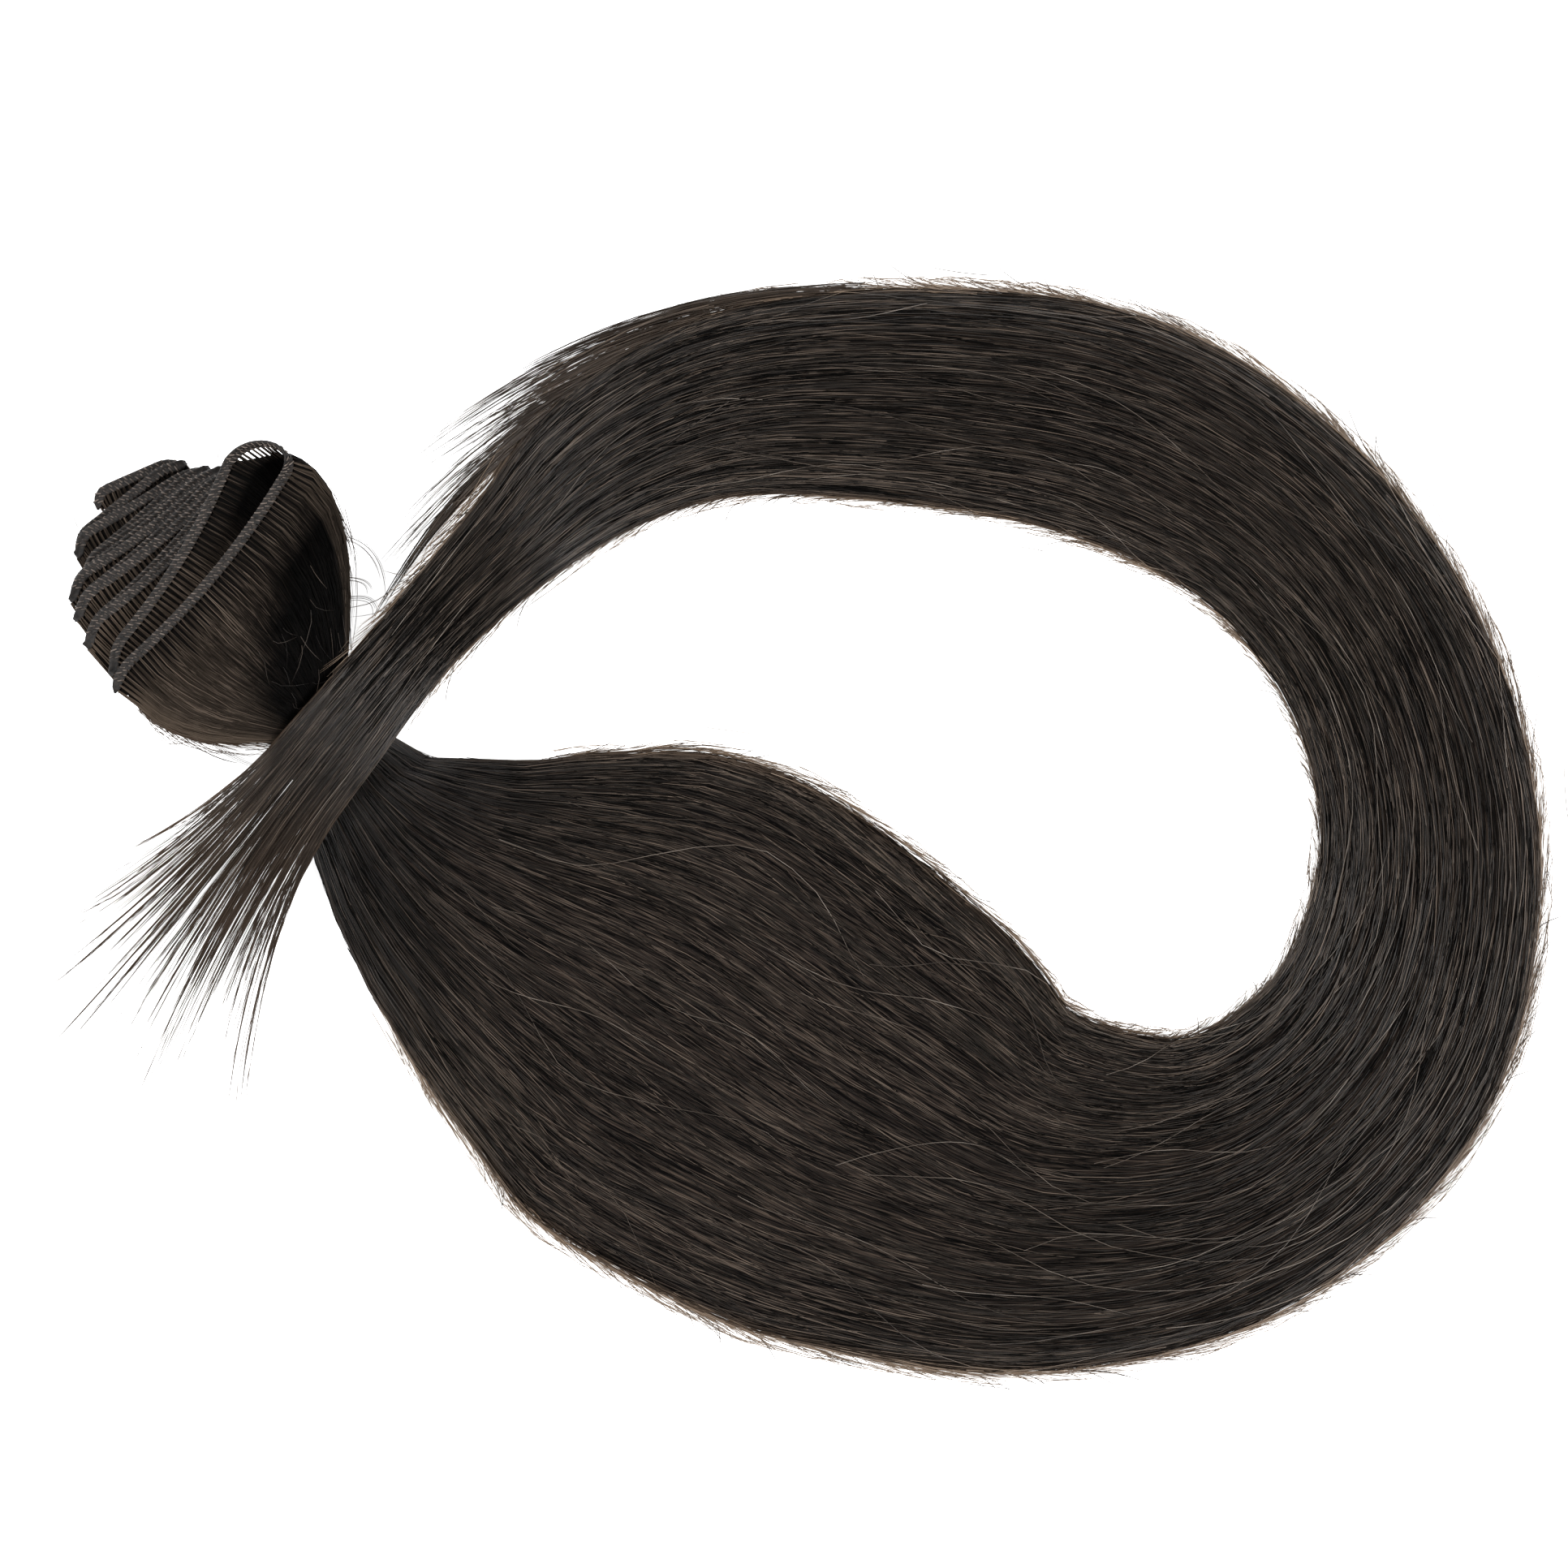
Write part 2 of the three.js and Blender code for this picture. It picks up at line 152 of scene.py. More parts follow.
# Opal acrylic lit from below: white with no gloss, and no shadow dark enough to see.
opal = bpy.data.materials.new("opal acrylic")
opal.use_nodes = True
panel = opal.node_tree.nodes["Principled BSDF"]
panel.inputs["Base Color"].default_value = linear("#fbfbfb")
panel.inputs["Roughness"].default_value = 0.9
panel.inputs["Specular IOR Level"].default_value = 0.1
panel.inputs["Emission Color"].default_value = linear("#ffffff")
panel.inputs["Emission Strength"].default_value = TABLE_GLOW
table_mesh.materials.append(opal)

# %% [markdown]
# ## The lie of the hank
# From the tie to the tips the hair lies in one long bundle. Its shape is a short table of sections:
# where the middle is, how wide it is, how high it stands, how far its underside is lifted, and how round
# it is. A smooth curve runs through the rows, as a draughtsman's spline would.

# %% Sections of the hank
HANK_SECTIONS = np.array([  # x, y, width, crest, lift, round
    (-94.6, 16.84, 17.2, 9.2, 2.1, 1), (-93.0, 14.07, 17.4, 9.2, 2.1, 1),
    (-89.6, 9.3, 26.0, 9.2, 1.2, 0.6), (-84.2, 1.6, 39.0, 8.6, 0.2, 0.2),
    (-71.2, -9.6, 59.5, 7.8, 0, 0), (-55.0, -19.5, 82.0, 7.2, 0, 0),
    (-38.0, -28.5, 100.0, 6.8, 0, 0), (-21.7, -38.2, 107.0, 6.6, 0, 0),
    (11.0, -58.0, 100.0, 7.0, 0, 0), (46.0, -72.8, 77.5, 8.5, 0, 0),
    (84.8, -70.2, 61.5, 10.0, 0, 0), (114.6, -46.4, 53.5, 11.0, 0, 0),
    (126.2, -9.4, 47.0, 11.5, 0, 0), (119.7, 28.0, 44.5, 11.5, 0, 0),
    (98.0, 59.7, 45.3, 11.0, 0, 0), (65.6, 80.0, 48.5, 10.0, 0, 0),
    (28.2, 87.1, 45.7, 9.0, 0, 0), (-11.0, 86.5, 39.7, 7.5, 0, 0),
    (-36.7, 77.0, 32.5, 6.0, 0.2, 0), (-59.2, 58.8, 23.0, 5.0, 2.8, 0),
    (-77.9, 38.3, 17.4, 4.4, 14.0, 0), (-94.75, 17.1, 18.8, 4.0, 15.2, 0),
    (-105.1, 4.6, 20.0, 3.0, 11.8, 0)])


def table_at(rows, place):
    last = len(rows) - 1
    at = np.clip(place, 0, 1) * last
    i = np.minimum(at.astype(int), last - 1)
    f = (at - i)[:, None]
    before, start = rows[np.maximum(i - 1, 0)], rows[i]
    end, after = rows[i + 1], rows[np.minimum(i + 2, last)]
    leave, arrive = (end - before) / 2, (after - start) / 2
    bend = 3 * (end - start) - 2 * leave - arrive
    twist = leave + arrive - 2 * (end - start)
    return start + f * (leave + f * (bend + f * twist))


# %% Where a point across the hank lies
EDGE_THICKNESS = 0.5
LOCK_RIDGE = 0.35
LOCKS_ACROSS = 14
LOCK_SWAY, LOCK_SWAYS = 3, 9
DOME_FLAT, DOME_ROUND = 2.4, 0.7
FURROW = {"across": 0.72, "spread": 0.1, "along": 0.27, "reach": 0.09, "depth": 0.35}


def hank_points(place, across):
    section = table_at(HANK_SECTIONS, place)
    x, y, width, crest, lift, roundness = (column[:, None] for column in section.T)
    lift, roundness = np.maximum(lift, 0), np.clip(roundness, 0, 1)
    step = 0.002
    way = (table_at(HANK_SECTIONS, place + step) - table_at(HANK_SECTIONS, place - step))[:, :2]
    way /= np.linalg.norm(way, axis=1, keepdims=True)
    a, p = np.atleast_2d(across), place[:, None]
    inside = np.clip(a, -1, 1)
    oval = np.sqrt(1 - inside ** 2)
    dome = (1 - np.abs(inside) ** DOME_FLAT) ** DOME_ROUND
    furrow = FURROW["depth"] * np.exp(-((a - FURROW["across"]) / FURROW["spread"]) ** 2
                                      - ((p - FURROW["along"]) / FURROW["reach"]) ** 2)
    body = (1 - roundness) * dome * (1 - furrow) + roundness * (0.5 + 0.5 * oval)
    swell = np.cos(np.pi * LOCKS_ACROSS / 2 * (a + 1) + LOCK_SWAY * np.sin(LOCK_SWAYS * p))
    ridge = swell * (1 - inside ** 2) * (1 - roundness)
    px = x + way[:, 1:] * a * width / 2
    py = y - way[:, :1] * a * width / 2
    top = lift + EDGE_THICKNESS + (crest - EDGE_THICKNESS) * body + LOCK_RIDGE * ridge
    under = lift + roundness * (crest / 2) * (1 - oval)
    return np.stack([px, py, top], -1), np.stack([px, py, under + 0 * px], -1), way


# %% [markdown]
# ## The fan of tips
# Past the crossing the tail opens into locks that end at their own places on the table. Each row says
# which part of the tail a lock comes from and where its tip lies. In between, the fan is filled in
# evenly, and each hair later leans towards its nearest lock.

# %% Tips of the tail
TIPS = np.array([  # across, tip x, tip y
    (-1.0, -112.7, -61.0), (-0.85, -116.6, -61.4), (-0.62, -127.0, -54.8), (-0.36, -132.5, -53.8),
    (-0.12, -138.0, -59.4), (0.14, -147.4, -50.4), (0.4, -154.5, -44.5), (0.64, -154.5, -33.2),
    (0.86, -152.9, -20.3), (1.0, -145.7, -5.4)])
FAN_ROOT = 0.965
FAN_SWEEP = 0.45
TIP_HEIGHT = 0.9


def fan_points(across, steps):
    root_top, root_under, way = hank_points(np.array([FAN_ROOT]), across)
    tip = np.stack([np.interp(across, TIPS[:, 0], TIPS[:, k]) for k in (1, 2)], -1)
    root = root_top[0, :, :2]
    reach = np.linalg.norm(tip - root, axis=1, keepdims=True)
    bend = root + way * reach * FAN_SWEEP
    f = np.linspace(0, 1, steps + 1)[1:, None, None]
    plan = (1 - f) ** 2 * root + 2 * f * (1 - f) * bend + f ** 2 * tip
    sink = (1 - f) ** 2 * (1 + f)
    top = root_top[0, :, 2:] * sink + TIP_HEIGHT * (1 - sink)
    under = root_under[0, :, 2:] * sink
    return np.concatenate([plan, top], -1), np.concatenate([plan, under], -1)


# %% [markdown]
# ## A lay to comb hair over
# A stylist first decides how the hair lies and then combs it. Here the lay is a hidden sheet: one
# direction runs across the hank and the other along it, both from 0 to 1 in a UV map. Each point also
# keeps the way down to the underside, so a hair can run at any depth, and a tone: how much painted
# shade darkens the hair, and how much painted light warms it where light comes through. Making every
# strand by hand would be hopeless, and particle hair leaves no mesh, so Geometry Nodes will read this
# sheet.

# %% A hidden sheet with its map, its depth and its tone
def lay_sheet(name, *tiles):
    points, faces, maps, drops, tones = [], [], [], [], []
    for upper, lower, u, v, dark, warm in tiles:
        rows, columns = upper.shape[:2]
        corner = sum(len(p) for p in points) + np.arange(rows * columns).reshape(rows, columns)
        quad = [corner[:-1, :-1], corner[:-1, 1:], corner[1:, 1:], corner[1:, :-1]]
        faces.append(np.stack(quad, -1).reshape(-1, 4))
        points.append(metres(upper).reshape(-1, 3))
        u_grid, v_grid = np.broadcast_arrays(np.asarray(u)[None, :], np.asarray(v)[:, None])
        maps.append(np.stack([u_grid, v_grid], -1).reshape(-1, 2))
        drops.append((lower - upper).reshape(-1, 3) / 1000)
        tone = np.broadcast_arrays(dark, warm, np.zeros((rows, columns)))
        tones.append(np.stack(tone, -1).reshape(-1, 3))
    mesh = bpy.data.meshes.new(name)
    faces = np.concatenate(faces)
    mesh.from_pydata(np.concatenate(points).tolist(), [], faces.tolist())
    corner_map = np.concatenate(maps)[faces.ravel()]
    mesh.uv_layers.new(name="lay").data.foreach_set("uv", corner_map.ravel())
    for label, values in (("drop", drops), ("tone", tones)):
        attribute = mesh.attributes.new(label, "FLOAT_VECTOR", "POINT")
        attribute.data.foreach_set("vector", np.concatenate(values).ravel())
    sheet = bpy.data.objects.new(name, mesh)
    scene.collection.objects.link(sheet)
    return sheet


# %% Lay of the hank and its tips
HANK_ROWS = 150
FAN_ROWS = 16
FAN_LENGTH = 62.0
COLUMNS = 37
OUTER_RIM = np.array([  # place along, mm of loose fringe outside the combed hair
    (0, 0), (0.06, 0), (0.14, 1.2), (0.7, 1.2), (0.78, 0.3), (0.835, -0.3), (0.846, 0.1), (0.858, 1.6),
    (0.874, 1.7), (0.886, 1.4), (0.9, 0.9), (0.92, 0.4), (0.95, 0), (1, 0)])
INNER_RIM = np.array([(0, 0), (0.06, 0), (0.14, 0.7), (0.8, 0.7), (0.88, 0), (1, 0)])


def rim_at(place, side):
    rim = OUTER_RIM if side > 0 else INNER_RIM
    half_width = table_at(HANK_SECTIONS, place)[:, 2] / 2
    return side * (1 - np.interp(place, rim[:, 0], rim[:, 1]) / half_width)[:, None], half_width[:, None]


def combed_across(place, share):
    inner, outer = rim_at(place, -1)[0], rim_at(place, 1)[0]
    return (inner + outer) / 2 + (outer - inner) / 2 * share * np.linspace(-1, 1, COLUMNS)


across = np.linspace(-1, 1, COLUMNS)
dense = np.linspace(0, FAN_ROOT, 3000)
middle = table_at(HANK_SECTIONS, dense)[:, :2]
walked = np.concatenate([[0], np.cumsum(np.linalg.norm(np.diff(middle, axis=0), axis=1))])
place = np.interp(np.linspace(0, walked[-1], HANK_ROWS), walked, dense)
hank_top, hank_under, _ = hank_points(place, combed_across(place, 1.0))
fan_top, fan_under = fan_points(across, FAN_ROWS)
HAIR_LENGTH = walked[-1] + FAN_LENGTH
FAN_FROM = walked[-1] / HAIR_LENGTH
fan_part = walked[-1] + FAN_LENGTH * np.linspace(0, 1, FAN_ROWS + 1)[1:]
along = np.concatenate([np.linspace(0, walked[-1], HANK_ROWS), fan_part]) / HAIR_LENGTH

# %% Tone of the lay: painted shade at the tie, painted light at both edges and at the tips
TIE_SHADE, EDGE_WARMTH, TIP_WARMTH = 0.6, 0.6, 0.8
hank_dark = TIE_SHADE - TIE_SHADE * ease(0.03, 0.1, along)[:, None]
hank_warm = EDGE_WARMTH * ease(0.95, 1, np.abs(across)) + TIP_WARMTH * ease(FAN_FROM, 0.98, along)[:, None]
hank_upper = np.concatenate([hank_top, fan_top])
hank_lower = np.concatenate([hank_under, fan_under])
hank_columns = np.linspace(0, 1, COLUMNS)
hank_lay = lay_sheet("hank_lay", (hank_upper, hank_lower, hank_columns, along, hank_dark, hank_warm))
print("hair from tie to tips:", round(HAIR_LENGTH), "mm, fan from", round(FAN_FROM, 3))

# %% [markdown]
# ## A comb made of nodes
# The comb makes many short straight lines, one for each hair, and bends every one over the lay. Where a
# hair runs across the sheet comes from its own number, from a slow drift that it shares with its
# neighbours, and from a small drift of its own. Near a seam hairs can be gathered in tufts, and near
# the tips in locks. Loose hairs can lean away from the rest, and a hair's ends can dive below the
# surface, as they do in a real hank. The result is a thin three-sided tube that tapers to its tip:
# enough for a hair about as wide as a pixel.

# %% The comb's inputs
COMB_INPUTS = [
    ("Lay", "Geometry", None), ("Lay Length", "Float", 0.1), ("Strands", "Int", 100), ("Steps", "Int", 40),
    ("Radius", "Float", 0.00015), ("Start From", "Float", 0.0), ("Start To", "Float", 0.0),
    ("Shortest", "Float", 0.9), ("Longest", "Float", 1.0), ("Edge Pull", "Float", 1.0),
    ("Depth From", "Float", 0.0), ("Depth To", "Float", 0.1), ("Depth Drift", "Float", 0.05),
    ("Dive", "Float", 0.0), ("Shared Drift", "Float", 0.0), ("Groups", "Float", 12.0),
    ("Waves", "Float", 6.0), ("Own Drift", "Float", 0.01), ("Own Waves", "Float", 14.0),
    ("Held", "Float", 0.01), ("Tufts", "Float", 1.0), ("Tuft Grip", "Float", 0.0),
    ("Tuft Reach", "Float", 0.2), ("Locks", "Float", 10.0), ("Lock Grip", "Float", 0.0),
    ("Lock From", "Float", 0.9), ("Lock Short", "Float", 1.0), ("Lean", "Float", 0.0), ("Seed", "Int", 1),
    ("Material", "Material", None)]


def new_tree(name, inputs):
    tree = bpy.data.node_groups.new(name, "GeometryNodeTree")
    for label, kind, value in inputs:
        socket = tree.interface.new_socket(label, in_out="INPUT", socket_type="NodeSocket" + kind)
        if value is not None:
            socket.default_value = value
    tree.interface.new_socket("Geometry", in_out="OUTPUT", socket_type="NodeSocketGeometry")
    return tree, add_node(tree, "NodeGroupInput").outputs


comb, given = new_tree("comb hair over a lay", COMB_INPUTS)

# %% The comb: one straight line for each hair
SEED_STRIDE = 7919.0  # keeps the chances of two pieces apart
line = add_node(comb, "GeometryNodeCurvePrimitiveLine").outputs[0]
stepped = add_node(comb, "GeometryNodeResampleCurve", {"Curve": line, "Count": given["Steps"]}).outputs[0]
roots = add_node(comb, "GeometryNodePoints", {"Count": given["Strands"]}).outputs[0]
copies = add_node(comb, "GeometryNodeInstanceOnPoints", {"Points": roots, "Instance": stepped}).outputs[0]
hairs = add_node(comb, "GeometryNodeRealizeInstances", {"Geometry": copies}).outputs[0]
number = add_node(comb, "GeometryNodeCurveOfPoint").outputs["Curve Index"]
factor = add_node(comb, "GeometryNodeSplineParameter").outputs["Factor"]
own_id = add_node(comb, "ShaderNodeMath", {0: given["Seed"], 1: SEED_STRIDE, 2: number},
                  operation="MULTIPLY_ADD").outputs[0]
chance = {}
for salt, label in enumerate(("column", "start", "length", "depth", "width", "tint", "lean")):
    chance[label] = add_node(comb, "FunctionNodeRandomValue",
                             {2: 0.0, 3: 1.0, "ID": own_id, "Seed": salt}).outputs[1]

# %% The comb: where each hair lies across
counted = add_node(comb, "ShaderNodeMath", {0: number, 1: chance["column"]}, operation="ADD").outputs[0]
column = add_node(comb, "ShaderNodeMath", {0: counted, 1: given["Strands"]}, operation="DIVIDE").outputs[0]
side = add_node(comb, "ShaderNodeMath", {0: column, 1: 2.0, 2: -1.0}, operation="MULTIPLY_ADD").outputs[0]
size = add_node(comb, "ShaderNodeMath", {0: side}, operation="ABSOLUTE").outputs[0]
pulled = add_node(comb, "ShaderNodeMath", {0: size, 1: given["Edge Pull"]}, operation="POWER").outputs[0]
sign = add_node(comb, "ShaderNodeMath", {0: side}, operation="SIGN").outputs[0]
signed = add_node(comb, "ShaderNodeMath", {0: pulled, 1: sign}, operation="MULTIPLY").outputs[0]
home = add_node(comb, "ShaderNodeMath", {0: signed, 1: 0.5, 2: 0.5}, operation="MULTIPLY_ADD").outputs[0]

# %% The comb: which tuft and which lock a hair belongs to
cell, centre = {}, {}
for label, uneven in (("Tufts", 0.15), ("Locks", 0.4)):
    scaled = add_node(comb, "ShaderNodeMath", {0: home, 1: given[label]}, operation="MULTIPLY").outputs[0]
    cell[label] = add_node(comb, "ShaderNodeMath", {0: scaled}, operation="FLOOR").outputs[0]
    inside = add_node(comb, "FunctionNodeRandomValue",
                      {2: 0.5 - uneven, 3: 0.5 + uneven, "ID": cell[label], "Seed": 17}).outputs[1]
    counted = add_node(comb, "ShaderNodeMath", {0: cell[label], 1: inside}, operation="ADD").outputs[0]
    centre[label] = add_node(comb, "ShaderNodeMath", {0: counted, 1: given[label]},
                             operation="DIVIDE").outputs[0]

# %% The comb: where each hair starts and ends
LAY_MARGIN = 0.0005  # just inside the sheet, so that every look-up finds it
start = add_node(comb, "ShaderNodeMapRange", {"Value": chance["start"], "To Min": given["Start From"],
                                              "To Max": given["Start To"]}).outputs[0]
length = add_node(comb, "ShaderNodeMapRange", {"Value": chance["length"], "To Min": given["Shortest"],
                                               "To Max": given["Longest"]}).outputs[0]
stop = add_node(comb, "ShaderNodeMath", {0: start, 1: length}, operation="ADD").outputs[0]
inside_lay = add_node(comb, "ShaderNodeMath", {0: stop, 1: 1 - LAY_MARGIN}, operation="MINIMUM").outputs[0]
lock_end = add_node(comb, "FunctionNodeRandomValue",
                    {2: given["Lock Short"], 3: 1.0, "ID": cell["Locks"], "Seed": 23}).outputs[1]
end = add_node(comb, "ShaderNodeMath", {0: inside_lay, 1: lock_end}, operation="MULTIPLY").outputs[0]
reached = add_node(comb, "ShaderNodeMapRange", {"Value": factor, "To Min": start, "To Max": end}).outputs[0]

# %% The comb: drift shared with neighbours, and drift of its own
SEED_SLICE, STRAND_SPACING = 3.17, 0.737
NOISE_LOW, NOISE_HIGH = 0.25, 0.75
free = add_node(comb, "ShaderNodeMapRange", {"Value": reached, "From Min": 0.0, "From Max": given["Held"]},
                interpolation_type="SMOOTHSTEP").outputs[0]
shared_x = add_node(comb, "ShaderNodeMath", {0: home, 1: given["Groups"]}, operation="MULTIPLY").outputs[0]
shared_y = add_node(comb, "ShaderNodeMath", {0: reached, 1: given["Waves"]},
                    operation="MULTIPLY").outputs[0]
seeded = add_node(comb, "ShaderNodeMath", {0: given["Seed"], 1: SEED_SLICE},
                  operation="MULTIPLY").outputs[0]
own_x = add_node(comb, "ShaderNodeMath", {0: own_id, 1: STRAND_SPACING}, operation="MULTIPLY").outputs[0]
own_y = add_node(comb, "ShaderNodeMath", {0: reached, 1: given["Own Waves"]},
                 operation="MULTIPLY").outputs[0]
drift = []
for x, y in ((shared_x, shared_y), (own_x, own_y)):
    at = add_node(comb, "ShaderNodeCombineXYZ", {0: x, 1: y, 2: seeded}).outputs[0]
    cloud = add_node(comb, "ShaderNodeTexNoise",
                     {"Vector": at, "Scale": 1.0, "Detail": 1.0}).outputs["Color"]
    parts = add_node(comb, "ShaderNodeSeparateXYZ", {0: cloud}).outputs
    pair = []
    for part in parts[:2]:
        swing = add_node(comb, "ShaderNodeMapRange",
                         {"Value": part, "From Min": NOISE_LOW, "From Max": NOISE_HIGH, "To Min": -1.0})
        pair.append(swing.outputs[0])
    drift.append(pair)
pushed = add_node(comb, "ShaderNodeMath", {0: drift[0][0], 1: given["Shared Drift"]},
                  operation="MULTIPLY").outputs[0]
both = add_node(comb, "ShaderNodeMath", {0: drift[1][0], 1: given["Own Drift"], 2: pushed},
                operation="MULTIPLY_ADD").outputs[0]

# %% The comb: lean away from the rest
bowed = add_node(comb, "ShaderNodeMath", {0: factor, 1: 2.0}, operation="POWER").outputs[0]
leaning = add_node(comb, "ShaderNodeMath", {0: given["Lean"], 1: chance["lean"]},
                   operation="MULTIPLY").outputs[0]
away = add_node(comb, "ShaderNodeMath", {0: leaning, 1: bowed, 2: both},
                operation="MULTIPLY_ADD").outputs[0]
across_at = add_node(comb, "ShaderNodeMath", {0: away, 1: free, 2: home},
                     operation="MULTIPLY_ADD").outputs[0]

# %% The comb: gather tufts at the seam and locks at the tips, and turn back at the edges
for label, grip, far, near in (("Tufts", "Tuft Grip", given["Tuft Reach"], 0.0),
                               ("Locks", "Lock Grip", given["Lock From"], 1.0)):
    weight = add_node(comb, "ShaderNodeMapRange", {"Value": reached, "From Min": far, "From Max": near,
                                                   "To Max": given[grip]},
                      interpolation_type="SMOOTHSTEP").outputs[0]
    across_at = add_node(comb, "ShaderNodeMix", {0: weight, 2: across_at, 3: centre[label]}).outputs[0]
turned = add_node(comb, "ShaderNodeMath", {0: across_at, 1: 1.0}, operation="PINGPONG").outputs[0]
kept = add_node(comb, "ShaderNodeClamp",
                {"Value": turned, "Min": LAY_MARGIN, "Max": 1 - LAY_MARGIN}).outputs[0]

# %% The comb: how deep each hair runs
DIVE_STEEPNESS = 5.0
depth = add_node(comb, "ShaderNodeMapRange", {"Value": chance["depth"], "To Min": given["Depth From"],
                                              "To Max": given["Depth To"]}).outputs[0]
swayed = add_node(comb, "ShaderNodeMath", {0: drift[1][1], 1: given["Depth Drift"], 2: depth},
                  operation="MULTIPLY_ADD").outputs[0]
ends = add_node(comb, "ShaderNodeMath", {0: factor, 1: 2.0, 2: -1.0}, operation="MULTIPLY_ADD").outputs[0]
far_out = add_node(comb, "ShaderNodeMath", {0: ends}, operation="ABSOLUTE").outputs[0]
sunk = add_node(comb, "ShaderNodeMath", {0: far_out, 1: DIVE_STEEPNESS}, operation="POWER").outputs[0]
deep = add_node(comb, "ShaderNodeMath", {0: sunk, 1: given["Dive"], 2: swayed},
                operation="MULTIPLY_ADD").outputs[0]

# %% The comb: read the lay and bend the hairs over it
spot = add_node(comb, "ShaderNodeCombineXYZ", {0: kept, 1: reached}).outputs[0]
named = {}
for label in ("lay", "drop", "tone", "strand"):
    named[label] = add_node(comb, "GeometryNodeInputNamedAttribute", {"Name": label},
                            data_type="FLOAT_VECTOR").outputs[0]
lay_point = add_node(comb, "GeometryNodeInputPosition").outputs[0]
found = []
for value in (lay_point, named["drop"], named["tone"]):
    wanted = {"Mesh": given["Lay"], "Value": value, "UV Map": named["lay"], "Sample UV": spot}
    found.append(add_node(comb, "GeometryNodeSampleUVSurface", wanted,
                          data_type="FLOAT_VECTOR").outputs[0])
laid = add_node(comb, "ShaderNodeVectorMath", {0: found[1], 1: deep, 2: found[0]},
                operation="MULTIPLY_ADD").outputs[0]

# %% The comb: keep each hair's tone, place and map
travelled = add_node(comb, "ShaderNodeMath", {0: reached, 1: given["Lay Length"]},
                     operation="MULTIPLY").outputs[0]
map_u = add_node(comb, "ShaderNodeMath", {0: number, 1: given["Strands"]}, operation="DIVIDE").outputs[0]
strand_map = add_node(comb, "ShaderNodeCombineXYZ", {0: map_u, 1: factor}).outputs[0]
marked = hairs
for label, kind, value in (("tint", "FLOAT", chance["tint"]), ("along", "FLOAT", travelled),
                           ("tone", "FLOAT_VECTOR", found[2]), ("strand", "FLOAT_VECTOR", strand_map)):
    marked = add_node(comb, "GeometryNodeStoreNamedAttribute",
                      {"Geometry": marked, "Name": label, "Value": value},
                      data_type=kind, domain="POINT").outputs[0]
bent = add_node(comb, "GeometryNodeSetPosition", {"Geometry": marked, "Position": laid}).outputs[0]

# %% The comb: a tapering tube for each hair
TAPER_STEEPNESS, TIP_SHARE = 7.0, 0.2
THINNEST, THICKEST = 0.65, 1.35
point_in = add_node(comb, "ShaderNodeMath", {0: factor, 1: TAPER_STEEPNESS}, operation="POWER").outputs[0]
taper = add_node(comb, "ShaderNodeMapRange",
                 {"Value": point_in, "To Min": 1.0, "To Max": TIP_SHARE}).outputs[0]
spread = add_node(comb, "ShaderNodeMapRange",
                  {"Value": chance["width"], "To Min": THINNEST, "To Max": THICKEST}).outputs[0]
thick = add_node(comb, "ShaderNodeMath", {0: spread, 1: given["Radius"]}, operation="MULTIPLY").outputs[0]
tapered = add_node(comb, "ShaderNodeMath", {0: thick, 1: taper}, operation="MULTIPLY").outputs[0]
triangle = add_node(comb, "GeometryNodeCurvePrimitiveCircle", {"Resolution": 3, "Radius": 1.0}).outputs[0]
tubes = add_node(comb, "GeometryNodeCurveToMesh",
                 {"Curve": bent, "Profile Curve": triangle, "Scale": tapered, "Fill Caps": True}).outputs[0]
mapped = add_node(comb, "GeometryNodeStoreNamedAttribute",
                  {"Geometry": tubes, "Name": "OFBake", "Value": named["strand"]},
                  data_type="FLOAT2", domain="CORNER").outputs[0]
smooth = add_node(comb, "GeometryNodeSetShadeSmooth", {"Geometry": mapped}).outputs[0]
whole = add_node(comb, "GeometryNodeRealizeInstances", {"Geometry": smooth}).outputs[0]
dressed = add_node(comb, "GeometryNodeSetMaterial",
                   {"Geometry": whole, "Material": given["Material"]}).outputs[0]
add_node(comb, "NodeGroupOutput", {0: dressed})
print("comb:", len(comb.nodes), "nodes")


# %% Run a tree on a sheet and keep the mesh
def place_piece(name, mesh):
    piece = bpy.data.objects.new(name, mesh)
    scene.collection.objects.link(piece)
    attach(piece, "root")
    print(name, sum(len(face.vertices) - 2 for face in mesh.polygons), "triangles")
    return piece


def grow(name, source, tree, slot, **sizes):
    modifier = source.modifiers.new(name, "NODES")
    modifier.node_group = tree
    for item in tree.interface.items_tree:
        label = item.name.replace(" ", "_").lower()
        if item.in_out == "INPUT" and label in sizes:
            modifier[item.identifier] = sizes[label]
    view = bpy.context.evaluated_depsgraph_get()
    mesh = bpy.data.meshes.new_from_object(source.evaluated_get(view), depsgraph=view)
    mesh.name = name
    source.modifiers.remove(modifier)
    return place_piece(name, mesh)


# %% [markdown]
# ## Dark-brown hair
# Hair is a smooth scaly keratin fibre, so it has a soft gloss and an index near 1.55. Every strand gets
# its own tone between brown-black and taupe, and the tone drifts along it, which is what makes a
# bundle of dyed hair look streaky. On top of that, painted shade makes it nearly black at the tie, and
# painted light turns it warm brown at the thin edges, where light comes through.

# %% Material: dyed hair
STREAKS_PER_METRE = (5.0, 90.0)  # a slow change of tone over 200 mm of hair, a quick one over 11 mm
QUICK_SHARE = 0.45
PATCHES_ACROSS, PATCHES_PER_METRE = 16.0, 45.0  # patches of one slant, about 22 mm long
HAIR_INDEX = 1.55


